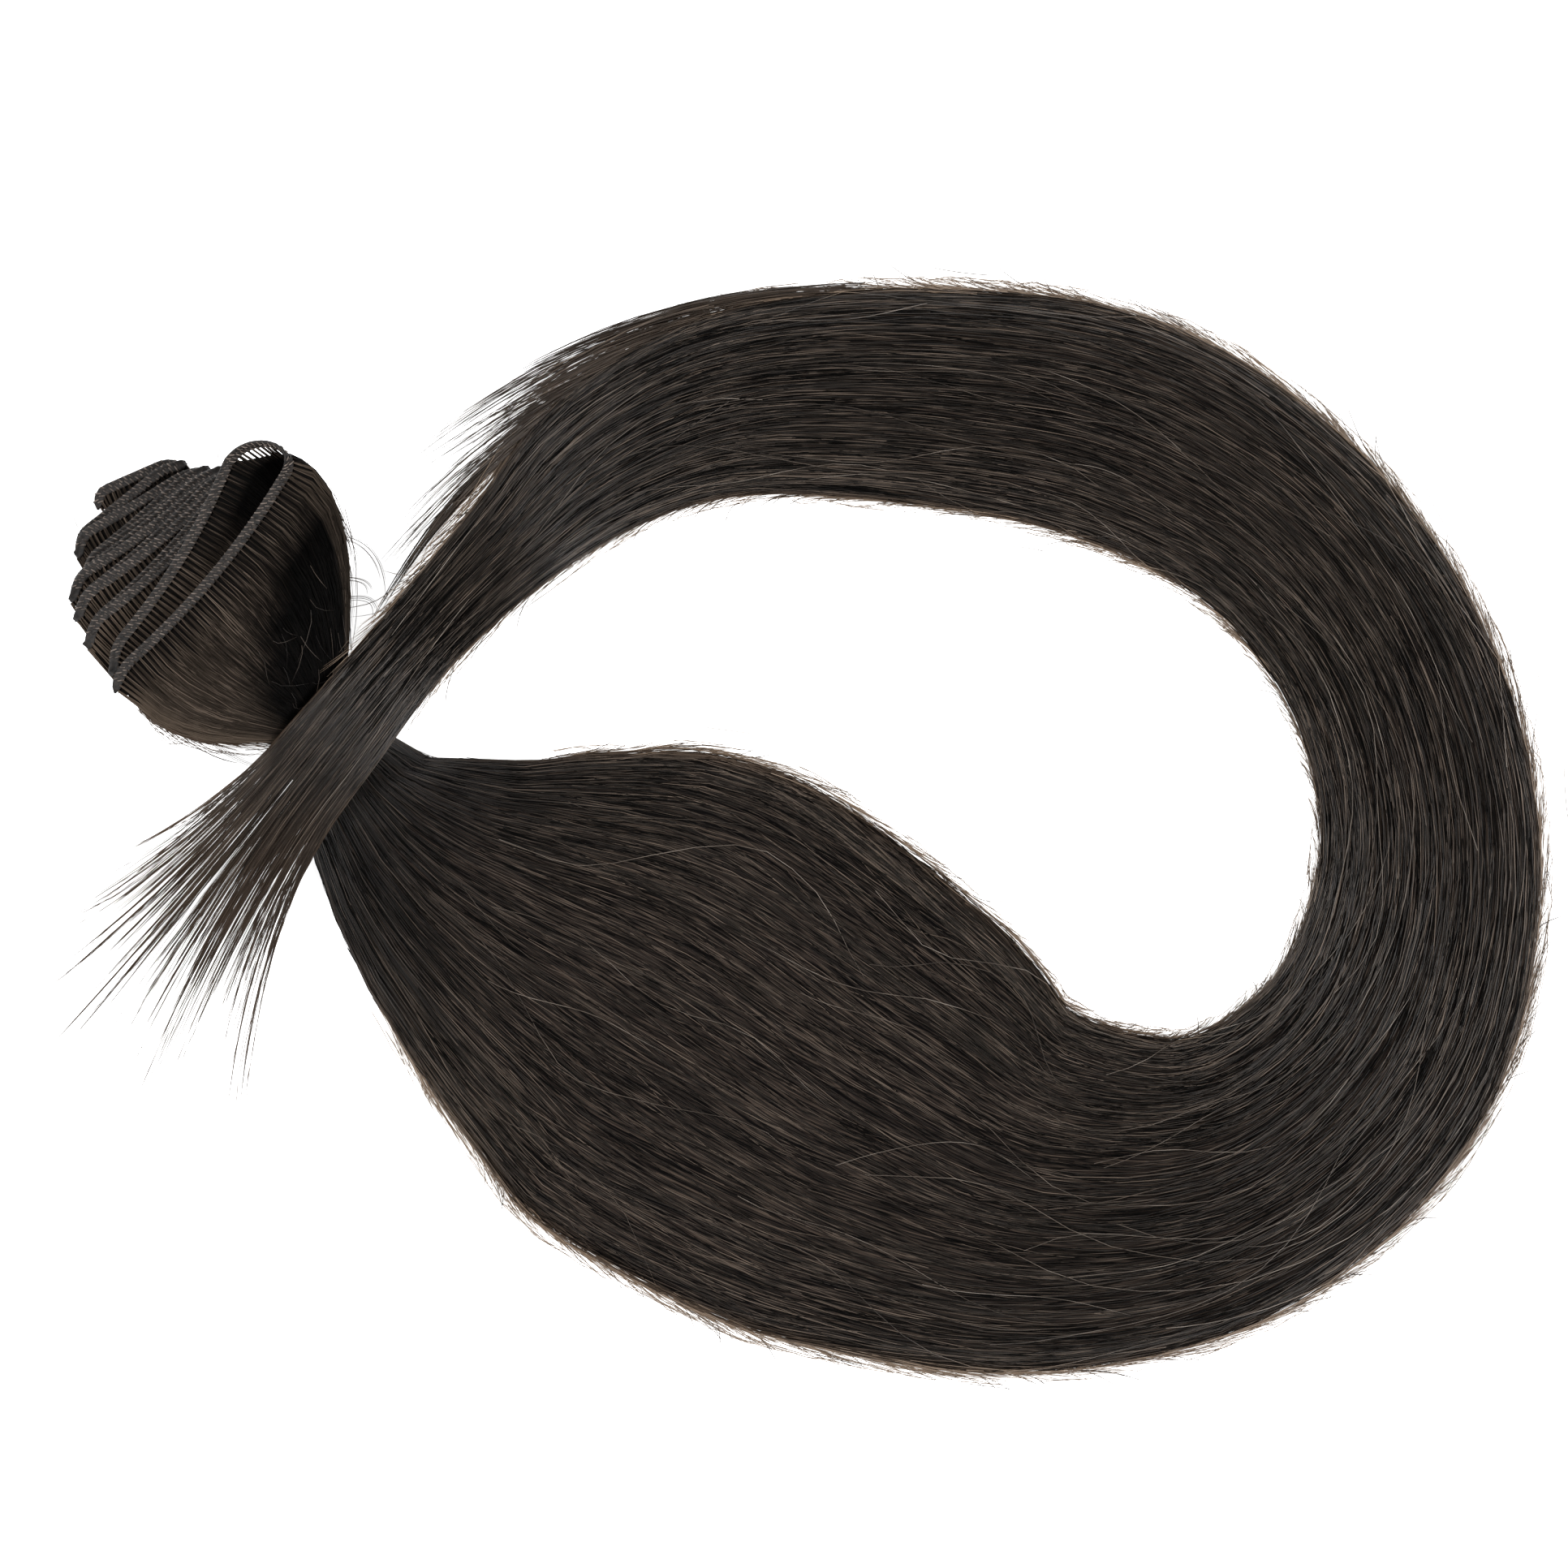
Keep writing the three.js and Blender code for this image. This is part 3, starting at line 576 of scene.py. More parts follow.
def hair_material(name, tones, painted_shade, lit_through, roughness, gloss,
                  rows=173.0, shears=(0.0,), relief=0.0):
    material = bpy.data.materials.new(name)
    material.use_nodes = True
    tree = material.node_tree
    surface = tree.nodes["Principled BSDF"]
    tint = add_node(tree, "ShaderNodeAttribute", attribute_name="tint").outputs["Fac"]
    metre = add_node(tree, "ShaderNodeAttribute", attribute_name="along").outputs["Fac"]
    tone = add_node(tree, "ShaderNodeAttribute", attribute_name="tone").outputs["Vector"]
    dark, warm, _ = add_node(tree, "ShaderNodeSeparateXYZ", {0: tone}).outputs
    row = add_node(tree, "ShaderNodeMath", {0: tint, 1: rows}, operation="MULTIPLY").outputs[0]
    combings = []
    for shear in shears:
        slanted = add_node(tree, "ShaderNodeMath", {0: metre, 1: shear, 2: row},
                           operation="MULTIPLY_ADD").outputs[0]
        clouds = []
        for per_metre in STREAKS_PER_METRE:
            run = add_node(tree, "ShaderNodeMath", {0: metre, 1: per_metre},
                           operation="MULTIPLY").outputs[0]
            at = add_node(tree, "ShaderNodeCombineXYZ", {0: slanted, 1: run, 2: per_metre}).outputs[0]
            cloud = add_node(tree, "ShaderNodeTexNoise", {"Vector": at, "Scale": 1.0})
            clouds.append(cloud.outputs["Fac"])
        mixed = add_node(tree, "ShaderNodeMix", {0: QUICK_SHARE, 2: clouds[0], 3: clouds[1]})
        combings.append(mixed.outputs[0])
    patch_x = add_node(tree, "ShaderNodeMath", {0: tint, 1: PATCHES_ACROSS},
                       operation="MULTIPLY").outputs[0]
    patch_y = add_node(tree, "ShaderNodeMath", {0: metre, 1: PATCHES_PER_METRE},
                       operation="MULTIPLY").outputs[0]
    patch_at = add_node(tree, "ShaderNodeCombineXYZ", {0: patch_x, 1: patch_y}).outputs[0]
    patch = add_node(tree, "ShaderNodeTexNoise", {"Vector": patch_at, "Scale": 1.0}).outputs["Fac"]
    chosen = add_node(tree, "ShaderNodeMapRange",
                      {"Value": patch, "From Min": 0.45, "From Max": 0.55}).outputs[0]
    streak = add_node(tree, "ShaderNodeMix", {0: chosen, 2: combings[0], 3: combings[-1]}).outputs[0]
    ramp = add_node(tree, "ShaderNodeValToRGB", {"Fac": streak})
    for element, (position, colour) in zip(ramp.color_ramp.elements, (tones[0], tones[-1])):
        element.position, element.color = position, linear(colour)
    for position, colour in tones[1:-1]:
        ramp.color_ramp.elements.new(position).color = linear(colour)
    # Painted light: the warm part of the tone mixes in the colour of hair lit through.
    warmed = add_node(tree, "ShaderNodeMix", {0: warm, 6: ramp.outputs[0], 7: linear(lit_through)},
                      data_type="RGBA").outputs[2]
    # Painted shade: the dark part of the tone mixes the colour towards the shade colour.
    shaded = add_node(tree, "ShaderNodeMix", {0: dark, 6: warmed, 7: linear(painted_shade)},
                      data_type="RGBA").outputs[2]
    tree.links.new(shaded, surface.inputs["Base Color"])
    if relief:
        bump = add_node(tree, "ShaderNodeBump", {"Height": streak, "Distance": relief}).outputs[0]
        tree.links.new(bump, surface.inputs["Normal"])
    surface.inputs["Roughness"].default_value = roughness
    surface.inputs["IOR"].default_value = HAIR_INDEX
    surface.inputs["Specular IOR Level"].default_value = gloss
    return material


# %% The hair in full light, in shade and below the surface
# Single strands: satin, streaky, brown-black to taupe.
HAIR_TONES = ((0.4, "#100d0b"), (0.51, "#26211d"), (0.64, "#62564c"))
dyed_hair = hair_material("dark-brown dyed hair", HAIR_TONES, "#060608", "#46372a",
                          roughness=0.4, gloss=0.2)
# The same hair close to the seam: it stands steeper and in shade, so it hardly glints.
CROWN_TONES = ((0.4, "#080706"), (0.51, "#221d19"), (0.64, "#665a50"))
crown_hair = hair_material("dark-brown hair below the seam", CROWN_TONES, "#020202", "#4c4239",
                           roughness=0.5, gloss=0.03)
# Hairs just under the top ones, in their shade: the dark gaps that the eye sees between strands.
SHADED_TONES = ((0.4, "#010101"), (0.55, "#070605"), (0.68, "#1c1815"))
shaded_hair = hair_material("dark-brown hair in shade", SHADED_TONES, "#020202", "#1c1510",
                            roughness=0.6, gloss=0.05)
# Loose broken hairs: lit from all sides, so paler than the bundle that they lie on.
LOOSE_TONES = ((0.4, "#2e2823"), (0.52, "#5a5149"), (0.64, "#8f867d"))
loose_hair = hair_material("loose hair in full light", LOOSE_TONES, "#060608", "#8a745f",
                           roughness=0.4, gloss=0.3)
# Hair below the surface: the same fibre in shade, so darker, matt and finely ridged.
INNER_TONES = ((0.44, "#050404"), (0.52, "#1f1a17"), (0.63, "#3e352e"))
inner_hair = hair_material("combed hair in shade", INNER_TONES, "#030303", "#1c1510", roughness=0.8,
                           gloss=0.03, rows=240.0, shears=(170.0, -170.0), relief=0.0003)

# %% [markdown]
# ## The dark heart of the hank
# Between the strands one sees only shade. A closed body just under the surface gives the hank its volume
# and stops the white table from showing through. It carries the same marks as a strand, so its
# material draws fine ridges along the hair.

# %% A closed body between two grids
def closed_body(name, upper, lower, dark, warm, length):
    rows, columns = upper.shape[:2]
    top = np.arange(rows * columns).reshape(rows, columns)
    under = top + rows * columns
    quads = [np.stack([top[:-1, :-1], top[:-1, 1:], top[1:, 1:], top[1:, :-1]], -1).reshape(-1, 4),
             np.stack([under[:-1, :-1], under[1:, :-1], under[1:, 1:], under[:-1, 1:]], -1).reshape(-1, 4)]
    rim = np.concatenate([top[0, :], top[1:, -1], top[-1, -2::-1], top[-2:0:-1, 0]])
    low_rim = rim + rows * columns
    quads.append(np.stack([rim, low_rim, np.roll(low_rim, -1), np.roll(rim, -1)], -1))
    faces = np.concatenate(quads)
    points = metres(np.concatenate([upper.reshape(-1, 3), lower.reshape(-1, 3)]))
    a, b, c, d = (points[faces[:, k]] for k in range(4))
    volume = np.sum(np.cross(b, c) * a) + np.sum(np.cross(c, d) * a)
    if volume < 0:
        faces = faces[:, ::-1]
    mesh = bpy.data.meshes.new(name)
    mesh.from_pydata(points.tolist(), [], faces.tolist())
    mesh.polygons.foreach_set("use_smooth", np.ones(len(faces), dtype=bool))
    tint, metre = np.meshgrid(np.linspace(0, 1, columns), np.linspace(0, length / 1000, rows))
    tone = np.stack(np.broadcast_arrays(dark, warm, 0 * tint), -1)
    for label, kind, key, values in (("tint", "FLOAT", "value", tint), ("along", "FLOAT", "value", metre),
                                     ("tone", "FLOAT_VECTOR", "vector", tone)):
        attribute = mesh.attributes.new(label, kind, "POINT")
        attribute.data.foreach_set(key, np.tile(values.ravel(), 2))
    mesh.materials.append(inner_hair)
    return place_piece(name, mesh)


# %% Heart of the hank
HEART_DROP = 0.4
HEART_WIDTH = 0.985
HEART_END = 0.972
HEART_SLIM, SLIM_FROM = 0.4, 0.92
HEART_SHADE = 0.8
HEART_THINNEST, HEART_LIFT = 0.1, 0.02
LAST_STEP = 0.01
heart_place = np.append(place[place < HEART_END - LAST_STEP], HEART_END)
slimmed = HEART_WIDTH * (1 - HEART_SLIM * ease(SLIM_FROM, HEART_END, heart_place)[:, None])
heart_top, heart_under, _ = hank_points(heart_place, combed_across(heart_place, slimmed))
heart_top[..., 2] = np.maximum(heart_top[..., 2] - HEART_DROP, heart_under[..., 2] + HEART_THINNEST)
heart_under[..., 2] += HEART_LIFT
# Painted shade near the tie, fading out a little way along the hank.
heart_dark = HEART_SHADE - HEART_SHADE * ease(0.03, 0.11, heart_place)[:, None]
heart = closed_body("hank_heart", heart_top, heart_under, heart_dark, 0.0, HAIR_LENGTH)
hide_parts("hank")

# %% [markdown]
# ## The hair of the hank
# Long hairs give the bundle its flow, and shorter ones that come up, cross at a small angle and dive
# again give it the fine weave of real hair. Between them lie very short hairs in shade, which the eye
# reads as gaps. Thin loose hairs follow both edges, and a few lie right across. Each kind is one run
# of the comb.

# %% Long hairs, short crossing hairs and hairs in the gaps
LONG = dict(steps=54, shortest=0.92, longest=0.985, depth_drift=0.05, shared_drift=0.035, groups=14.0,
            waves=5.0, own_drift=0.02, own_waves=9.0, held=0.12, locks=15.0, lock_grip=0.75,
            lock_from=FAN_FROM - 0.03, lock_short=0.985)
SHORT = dict(strands=2700, steps=8, radius=0.00008, start_from=0.0, start_to=0.87, shortest=0.04,
             longest=0.1, depth_from=-0.04, depth_to=0.13, dive=0.14, shared_drift=0.03, groups=14.0,
             waves=5.0, own_drift=0.075, own_waves=9.0, held=0.12, locks=15.0, lock_grip=0.65,
             lock_from=FAN_FROM - 0.01)
HANK_LAYERS = {
    "hank_under_hair": dict(LONG, strands=140, depth_from=0.15, depth_to=1.0, seed=3, radius=0.00015,
                            edge_pull=0.5),
    "hank_long_hair": dict(LONG, strands=430, depth_from=-0.02, depth_to=0.1, seed=5, radius=0.0001),
    "hank_short_hair": dict(SHORT, seed=8),
    "hank_gap_hair": dict(SHORT, seed=9, strands=7000, steps=4, shortest=0.008, longest=0.045,
                          own_drift=0.05, dive=0.2, depth_from=-0.03, depth_to=0.02, material=shaded_hair),
    "tip_hair": dict(LONG, strands=900, steps=12, start_from=0.85, start_to=0.9, shortest=0.05,
                     longest=0.15, depth_from=0.0, depth_to=0.6, own_drift=0.012, own_waves=14.0,
                     seed=13, radius=0.00008, held=0.01, locks=42.0, lock_grip=0.8, lock_short=0.96),
    "tip_strays": dict(strands=130, steps=12, radius=0.00008, start_from=0.87, start_to=0.9,
                       shortest=0.08, longest=0.14, depth_from=0.0, depth_to=0.8, own_drift=0.05,
                       own_waves=9.0, seed=15),
    "stray_hair": dict(strands=70, steps=14, radius=0.00007, material=loose_hair, start_from=0.05,
                       start_to=0.85, shortest=0.04, longest=0.16, depth_from=-0.1, depth_to=-0.04,
                       own_drift=0.3, own_waves=7.0, seed=14)}
for name, sizes in HANK_LAYERS.items():
    grow(name, hank_lay, comb, "hair", lay_length=HAIR_LENGTH / 1000, **{"material": dyed_hair, **sizes})

# %% Loose hairs along both edges
EDGES = [  # piece, side, reach beyond the rim in mm, hairs, pull to the rim, longest, lean, material
    ("outer_edge_hair", 1, 2.6, 1700, 3.5, 0.032, 0.55, loose_hair),
    ("inner_edge_hair", -1, 2.0, 1000, 3.5, 0.032, 0.5, loose_hair),
    ("outer_flyaways", 1, 9.0, 200, 12.0, 0.025, 0.4, dyed_hair),
    ("inner_flyaways", -1, 6.0, 110, 12.0, 0.025, 0.4, dyed_hair)]
EDGE_INSIDE = 1.5
edge_map = np.linspace(0, 1, 9)
guides = [hank_lay]
for seed, (name, side, reach, hairs_here, pull, longest, lean, material) in enumerate(EDGES, 31):
    rim, half_width = rim_at(place, side)
    beyond = (2 * edge_map - 1) * np.where(edge_map > 0.5, reach, EDGE_INSIDE)
    upper, lower, _ = hank_points(place, rim + side * beyond / half_width)
    # Painted light: the edge hairs are warmed half way, as hair lit through.
    edge_lay = lay_sheet(name + "_lay", (upper, lower, edge_map, np.linspace(0, 1, HANK_ROWS), 0.0, 0.5))
    grow(name, edge_lay, comb, "hair", lay_length=walked[-1] / 1000, strands=hairs_here, steps=6,
         radius=0.00008, start_from=0.06, start_to=0.95, shortest=longest / 4, longest=longest,
         edge_pull=pull, depth_from=0.0, depth_to=1.0, own_drift=0.04, own_waves=20.0, lean=lean, seed=seed,
         material=material)
    guides.append(edge_lay)

# %% [markdown]
# ## Wisps
# Shorter hairs end before the tail does. They leave its outer edge in thin wisps, one after another, and
# a few single hairs curl off the head. Each wisp is a narrow ribbon of lay from a root over a bend to
# a tip, and all ribbons share one sheet, side by side in its map.

# %% Ribbons of lay
RIBBON_STEPS, RIBBON_COLUMNS, RIBBON_DEPTH = 13, 5, 0.5


# warm is painted light: how far a ribbon's hairs are warmed, as hair lit through.
def ribbon_lay(name, ribbons, warm):
    f = np.linspace(0, 1, RIBBON_STEPS)[:, None]
    tiles = []
    for i, (root, bend, tip, root_width, tip_width) in enumerate(ribbons):
        path = (1 - f) ** 2 * root + 2 * f * (1 - f) * bend + f ** 2 * tip
        way = np.gradient(path, axis=0)[:, :2]
        way /= np.linalg.norm(way, axis=1, keepdims=True)
        beside = np.stack([way[:, 1], -way[:, 0], 0 * way[:, 0]], -1)
        width = root_width + (tip_width - root_width) * f
        offsets = width * np.linspace(-0.5, 0.5, RIBBON_COLUMNS)
        sheet = path[:, None] + beside[:, None] * offsets[..., None]
        columns = (i + np.linspace(0, 1, RIBBON_COLUMNS)) / len(ribbons)
        tiles.append((sheet, sheet - [0, 0, RIBBON_DEPTH], columns, f[:, 0], 0.0, warm))
    return lay_sheet(name, *tiles)


IN_RIBBON = dict(tuft_grip=0.3, tuft_reach=1000.0)  # keeps each hair clear of its ribbon's sides

# %% Wisps off the tail's outer edge
EDGE_WISPS = [  # place along, across, tip x, tip y, width at the root and at the tip
    (0.745, 0.97, -58.0, 92.4, 3.6, 1.8), (0.755, 1.0, -60.0, 91.0, 3.2, 2.4),
    (0.775, 0.95, -66.4, 80.0, 5.0, 5.0), (0.79, 0.93, -70.5, 76.5, 4.0, 4.5),
    (0.8, 0.93, -79.6, 71.5, 4.0, 4.5), (0.78, 1.0, -80.5, 74.0, 3.0, 4.0),
    (0.815, 0.95, -83.0, 60.5, 4.0, 4.0), (0.828, 0.95, -84.6, 53.7, 3.5, 3.0),
    (0.838, 1.0, -88.6, 39.4, 2.4, 1.2), (0.842, 0.95, -87.4, 41.5, 2.0, 1.2)]
WISP_TIP_HEIGHT = 1.0
HAIRS_PER_WISP = 34
wisps = []
for at, across_tail, tip_x, tip_y, *widths in EDGE_WISPS:
    root, _, way = hank_points(np.array([at]), np.array([across_tail]))
    tip = np.array([tip_x, tip_y, WISP_TIP_HEIGHT])
    reach = np.linalg.norm(tip[:2] - root[0, 0, :2])
    bend = root[0, 0] + np.append(way[0] * reach * 0.5, 0)
    wisps.append((root[0, 0], bend, tip, *widths))
wisp_lay = ribbon_lay("wisp_lay", wisps, 0.25)
grow("wisp_hair", wisp_lay, comb, "hair", lay_length=0.04, strands=HAIRS_PER_WISP * len(wisps), steps=10,
     radius=0.0001, start_to=0.1, shortest=0.3, longest=1.0, depth_from=0.0, depth_to=1.0, own_drift=0.02,
     own_waves=2.5, locks=float(len(wisps)), lock_grip=0.0, lock_from=0.2, seed=41, **IN_RIBBON,
     tufts=float(len(wisps)), material=dyed_hair)
guides.append(wisp_lay)

# %% [markdown]
# ## The folded seam
# The seam is one long flat band. It runs to and fro in a stack, each run a little further round than
# the one below, and turns back at each end in a small fold that droops towards the hair. The last fold
# on the right stands open like an arch. Two short tables give the fold points, and one function gives
# any place on the seam.

# %% Fold points and sizes of the seam
RUNS = 14
SEAM_WIDTH = 3.2
SEAM_THICKNESS = 0.9
LAYER_RISE = 1.45
RUN_BOW = 2.4
FOLD_BULGE = 1.5
LEFT_DROOP, LEFT_SPAN = 2.9, 0.13
RIGHT_DROOP, RIGHT_SPAN = 1.7, 0.2
OPEN_FOLD = {"level": 12, "bulge": 6.3, "rise": 3.5, "dip": 0.75}
LEFT_FOLDS = np.array([(-143.4, 67.0), (-147.4, 57.8), (-145.8, 52.6), (-148.4, 48.8), (-147.4, 44.8),
                       (-145.4, 39.2), (-140.6, 33.6), (-140.2, 29.0)])
RIGHT_FOLDS = np.array([(-126.9, 74.2), (-122.1, 73.0), (-119.2, 72.8), (-116.4, 72.6), (-113.9, 72.2),
                        (-112.1, 70.8), (-115.4, 73.3), (-104.3, 70.0)])


def run_ends(run):
    return LEFT_FOLDS[(run + 1) // 2], RIGHT_FOLDS[7 if run == OPEN_FOLD["level"] + 1 else run // 2]


def seam_place(along_run, level):
    below, above = run_ends(int(np.floor(level))), run_ends(int(np.ceil(level)))
    left, right = (below[k] + (above[k] - below[k]) * (level % 1) for k in (0, 1))
    way = (right - left) / np.linalg.norm(right - left)
    hair = np.array([way[1], -way[0]])
    bow = RUN_BOW * level / (RUNS - 1) * 4 * along_run * (1 - along_run)
    droop = LEFT_DROOP * max(0, 1 - along_run / LEFT_SPAN) ** 2
    if level <= OPEN_FOLD["level"] - 0.5:
        droop += RIGHT_DROOP * max(0, 1 - (1 - along_run) / RIGHT_SPAN) ** 2
    plan = left + (right - left) * along_run + hair * (bow + droop)
    lift = OPEN_FOLD["rise"] * along_run * max(0, level - OPEN_FOLD["level"])
    height = SEAM_THICKNESS / 2 + level * LAYER_RISE + lift
    return [*plan, height, *way, 0, *hair, 0, along_run, level]


# %% The whole seam, run after run
def seam_path(run_steps=24, fold_steps=6, open_steps=14):
    rows = []
    for level in range(RUNS):
        rightward = level % 2 == 0
        for i in range(run_steps + 1):
            rows.append(seam_place(i / run_steps if rightward else 1 - i / run_steps, level))
        if level == RUNS - 1:
            break
        opened = level == OPEN_FOLD["level"]
        steps = open_steps if opened else fold_steps
        for i in range(1, steps):
            turn = np.pi * i / steps
            row = seam_place(float(rightward), level + (1 - np.cos(turn)) / 2)
            out = (1 if rightward else -1) * (OPEN_FOLD["bulge"] if opened else FOLD_BULGE) * np.sin(turn)
            row[0] += out * row[3]
            row[1] += out * row[4]
            if opened:
                row[2] += OPEN_FOLD["rise"] * np.sin(turn)
                row[8] -= OPEN_FOLD["dip"] * np.sin(turn)
            rows.append(row)
    return np.array(rows)


seam = seam_path()
travel = np.concatenate([[0], np.cumsum(np.linalg.norm(np.diff(seam[:, :3], axis=0), axis=1))])
SEAM_LENGTH = travel[-1]
STITCH_PITCH = 1.15
STITCHES = int(SEAM_LENGTH / STITCH_PITCH)
print("seam", round(SEAM_LENGTH), "mm,", STITCHES, "stitches")


# %% Places at even steps along the seam
def seam_at(distance):
    rows = np.stack([np.interp(distance, travel, column) for column in seam.T], 1)
    point, way, hair = rows[:, 0:3], rows[:, 3:6], rows[:, 6:9]
    tangent = np.gradient(point, axis=0)
    tangent /= np.linalg.norm(tangent, axis=1, keepdims=True)
    hang = hair - tangent * np.sum(hair * tangent, axis=1, keepdims=True)
    hang /= np.linalg.norm(hang, axis=1, keepdims=True)
    face = np.cross(hang, tangent)
    return {"point": point, "way": way, "hair": hair, "tangent": tangent, "hang": hang, "face": face,
            "along": rows[:, 9], "level": rows[:, 10]}


# %% [markdown]
# ## The hair below the seam
# From every stitch a small tuft of hair runs down to the tie. The path leaves the seam square to it,
# opens a little like a fan and arrives in line with the neck. The lay follows every run and every
# fold, so the stack is full of hair and not just dressed on top. Its tone carries painted shade, nearly
# black inside the open fold and at the right, where the hair dips towards the tie, and painted light,
# warm at the lower left, where light comes through.

# %% Painted shade and light from the place along the run, the level in the stack and the share of the way to the tie
TOP_BLEND, STACK_BLEND = (12.4, 12.9), (11.5, 12)
SHADE_NEAR, SHADE_FAR, SHADE_FALL = 0.1, 0.75, 2.2
DARKEST, WARMEST = 0.97, 0.9


def crown_tone(run, level, share):
    top = ease(*TOP_BLEND, level)
    stack = 1 - ease(*STACK_BLEND, level)
    hollow = 1 - top - stack
    shade_from = SHADE_NEAR + SHADE_FAR * (1 - np.clip(run, 0, 1)) ** SHADE_FALL
    right_rim = top * ease(0.98, 1, run) * (1 - ease(0.55, 0.85, share))
    dip = top * ease(0.7 * shade_from, 1.25 * shade_from + 0.05, share)
    pocket = hollow * ease(0, 0.05, share) * ease(0.6, 0.88, run)
    # Painted shade: the dip towards the tie, the hollow of the open fold and the far right of the stack.
    dark = dip * (1 - 0.6 * right_rim) + pocket + 0.6 * stack * ease(0.4, 0.9, run)
    stack_left = stack * (0.3 + 0.65 * ease(4, 10, level)) * (1 - ease(0.05, 0.65, run))
    left_rim = (1 - stack) * (1 - ease(0, 0.1, run))
    fold_left = hollow * (1 - ease(0.3, 0.75, run))
    top_left = top * (1 - ease(0, 0.6, run)) * (1 - ease(0.5, 0.9, share))
    # Painted light: warm where light comes through at the lower left and along the rims.
    warm = stack_left + 0.7 * left_rim + 0.3 * right_rim + 0.45 * fold_left + 0.25 * top_left
    return np.clip(dark, 0, DARKEST), np.clip(warm, 0, WARMEST)


# %% From the seam to the neck
NECK_AXIS = np.array([0.5, -np.sqrt(0.75), 0])
NECK_ACROSS = np.array([np.sqrt(0.75), 0.5, 0])
NECK_WIDTH, NECK_HEIGHT, NECK_FILL = 18.4, 10.0, 0.78
NECK_GAP = 0.3
SEAM_CLEARANCE = 0.55
LEAVE, ARRIVE, FAN, FAN_CENTRE = 56.0, 17.0, 0.5, 0.55
ROOT_SHARE = 0.05
CROWN_LENGTH = 0.048


def crown_grid(distance, stations):
    at = seam_at(distance)
    stack = (at["level"] + 0.5) / RUNS - 0.5
    half = NECK_WIDTH / 2 * np.sqrt(1 - (2 * stack) ** 2) * NECK_FILL
    end = NECK + NECK_ACROSS * ((2 * at["along"] - 1) * half)[:, None] - NECK_AXIS * NECK_GAP
    end[:, 2] += stack * NECK_HEIGHT * NECK_FILL
    splay = (FAN * (at["along"] - FAN_CENTRE))[:, None]
    leave = at["hair"] * [1, 1, 0] * np.cos(splay) + at["way"] * np.sin(splay)
    leave[:, 2] = at["hair"][:, 2]
    start = at["point"] + at["hang"] * (SEAM_WIDTH / 2 + SEAM_CLEARANCE)
    rows = [at["point"]]
    for f in np.linspace(0, 1, stations):
        g = 1 - f
        rows.append(start * g * g * (1 + 2 * f) + leave * LEAVE * f * g * g
                    + end * f * f * (3 - 2 * f) - NECK_AXIS * ARRIVE * f * f * g)
    shares = np.concatenate([[0], np.linspace(ROOT_SHARE, 1, stations)])
    dark, warm = crown_tone(at["along"][None], at["level"][None], shares[:, None])
    return np.array(rows), shares, dark, warm


# %% A lay below any stretch of the seam
FOLD_CLOSES = (12.9, 13)
THIN_AT_TIE, THIN_IN_FOLD = 0.5, 0.7


# shade scales the lay's painted shade and painted light; 0 leaves the hair its own colour.
def crown_lay(name, distance, stations, thickness, shade=1.0):
    grid, shares, dark, warm = crown_grid(distance, stations)
    normal = np.cross(np.gradient(grid, axis=1), np.gradient(grid, axis=0))
    normal /= np.linalg.norm(normal, axis=2, keepdims=True)
    level = seam_at(distance)["level"]
    in_fold = ease(OPEN_FOLD["level"], OPEN_FOLD["level"] + 0.1, level) * (1 - ease(*FOLD_CLOSES, level))
    thinned = (1 - THIN_AT_TIE * shares[:, None]) * (1 - THIN_IN_FOLD * in_fold)
    half = normal * (thickness / 2 * thinned)[..., None]
    columns = np.linspace(0, 1, len(distance))
    return lay_sheet(name, (grid + half, grid - half, columns, shares, dark * shade, warm * shade))


# %% Lays of the stack, of the open fold and of the top run
SEAM_START = 0.2
STACK_STEP, STACK_STATIONS = 1.0, 10
UPPER_STEP, UPPER_STATIONS = 0.7, 14
LAY_THICKNESS = 0.8
BROKEN_SHARE = 0.62
SPLIT = travel[np.argmax(seam[:, 10] >= OPEN_FOLD["level"])]
TOP_FROM = travel[np.argmax(seam[:, 10] >= OPEN_FOLD["level"] + 1)]
BROKEN_TO = TOP_FROM + BROKEN_SHARE * (SEAM_LENGTH - TOP_FROM)
stack_walk = np.arange(SEAM_START, SPLIT, STACK_STEP)
upper_walk = np.arange(SPLIT, SEAM_LENGTH, UPPER_STEP)
top_walk = np.arange(TOP_FROM, BROKEN_TO, UPPER_STEP)
stack_lay = crown_lay("stack_lay", stack_walk, STACK_STATIONS, LAY_THICKNESS)
upper_lay = crown_lay("upper_lay", upper_walk, UPPER_STATIONS, LAY_THICKNESS)
top_lay = crown_lay("top_lay", top_walk, UPPER_STATIONS, LAY_THICKNESS, shade=0.0)
print("seam below the open fold:", round(SPLIT), "mm, top run from", round(TOP_FROM), "mm")

# %% Tufts of hair below the seam
STACK_TUFT, UPPER_TUFT = 4, 22  # hairs in each tuft
stack_tufts = round(SPLIT / STITCH_PITCH)
upper_tufts = STITCHES - stack_tufts
CROWN = dict(lay_length=CROWN_LENGTH, shortest=1.0, longest=1.0, held=0.3, own_waves=3.0,
             material=crown_hair)
grow("stack_hair", stack_lay, comb, "hair", strands=stack_tufts * STACK_TUFT, steps=7, radius=0.00016,
     depth_from=0.0, depth_to=0.9, depth_drift=0.1, tufts=float(stack_tufts), tuft_reach=0.25,
     tuft_grip=0.58, own_drift=0.002, seed=21, **CROWN)
grow("upper_hair", upper_lay, comb, "hair", strands=upper_tufts * UPPER_TUFT, steps=11, radius=0.00009,
     depth_from=-0.1, depth_to=0.9, depth_drift=0.2, tufts=float(upper_tufts), tuft_reach=0.2,
     tuft_grip=0.76, shared_drift=0.004, groups=50.0, waves=2.0, own_drift=0.008, seed=22, **CROWN)

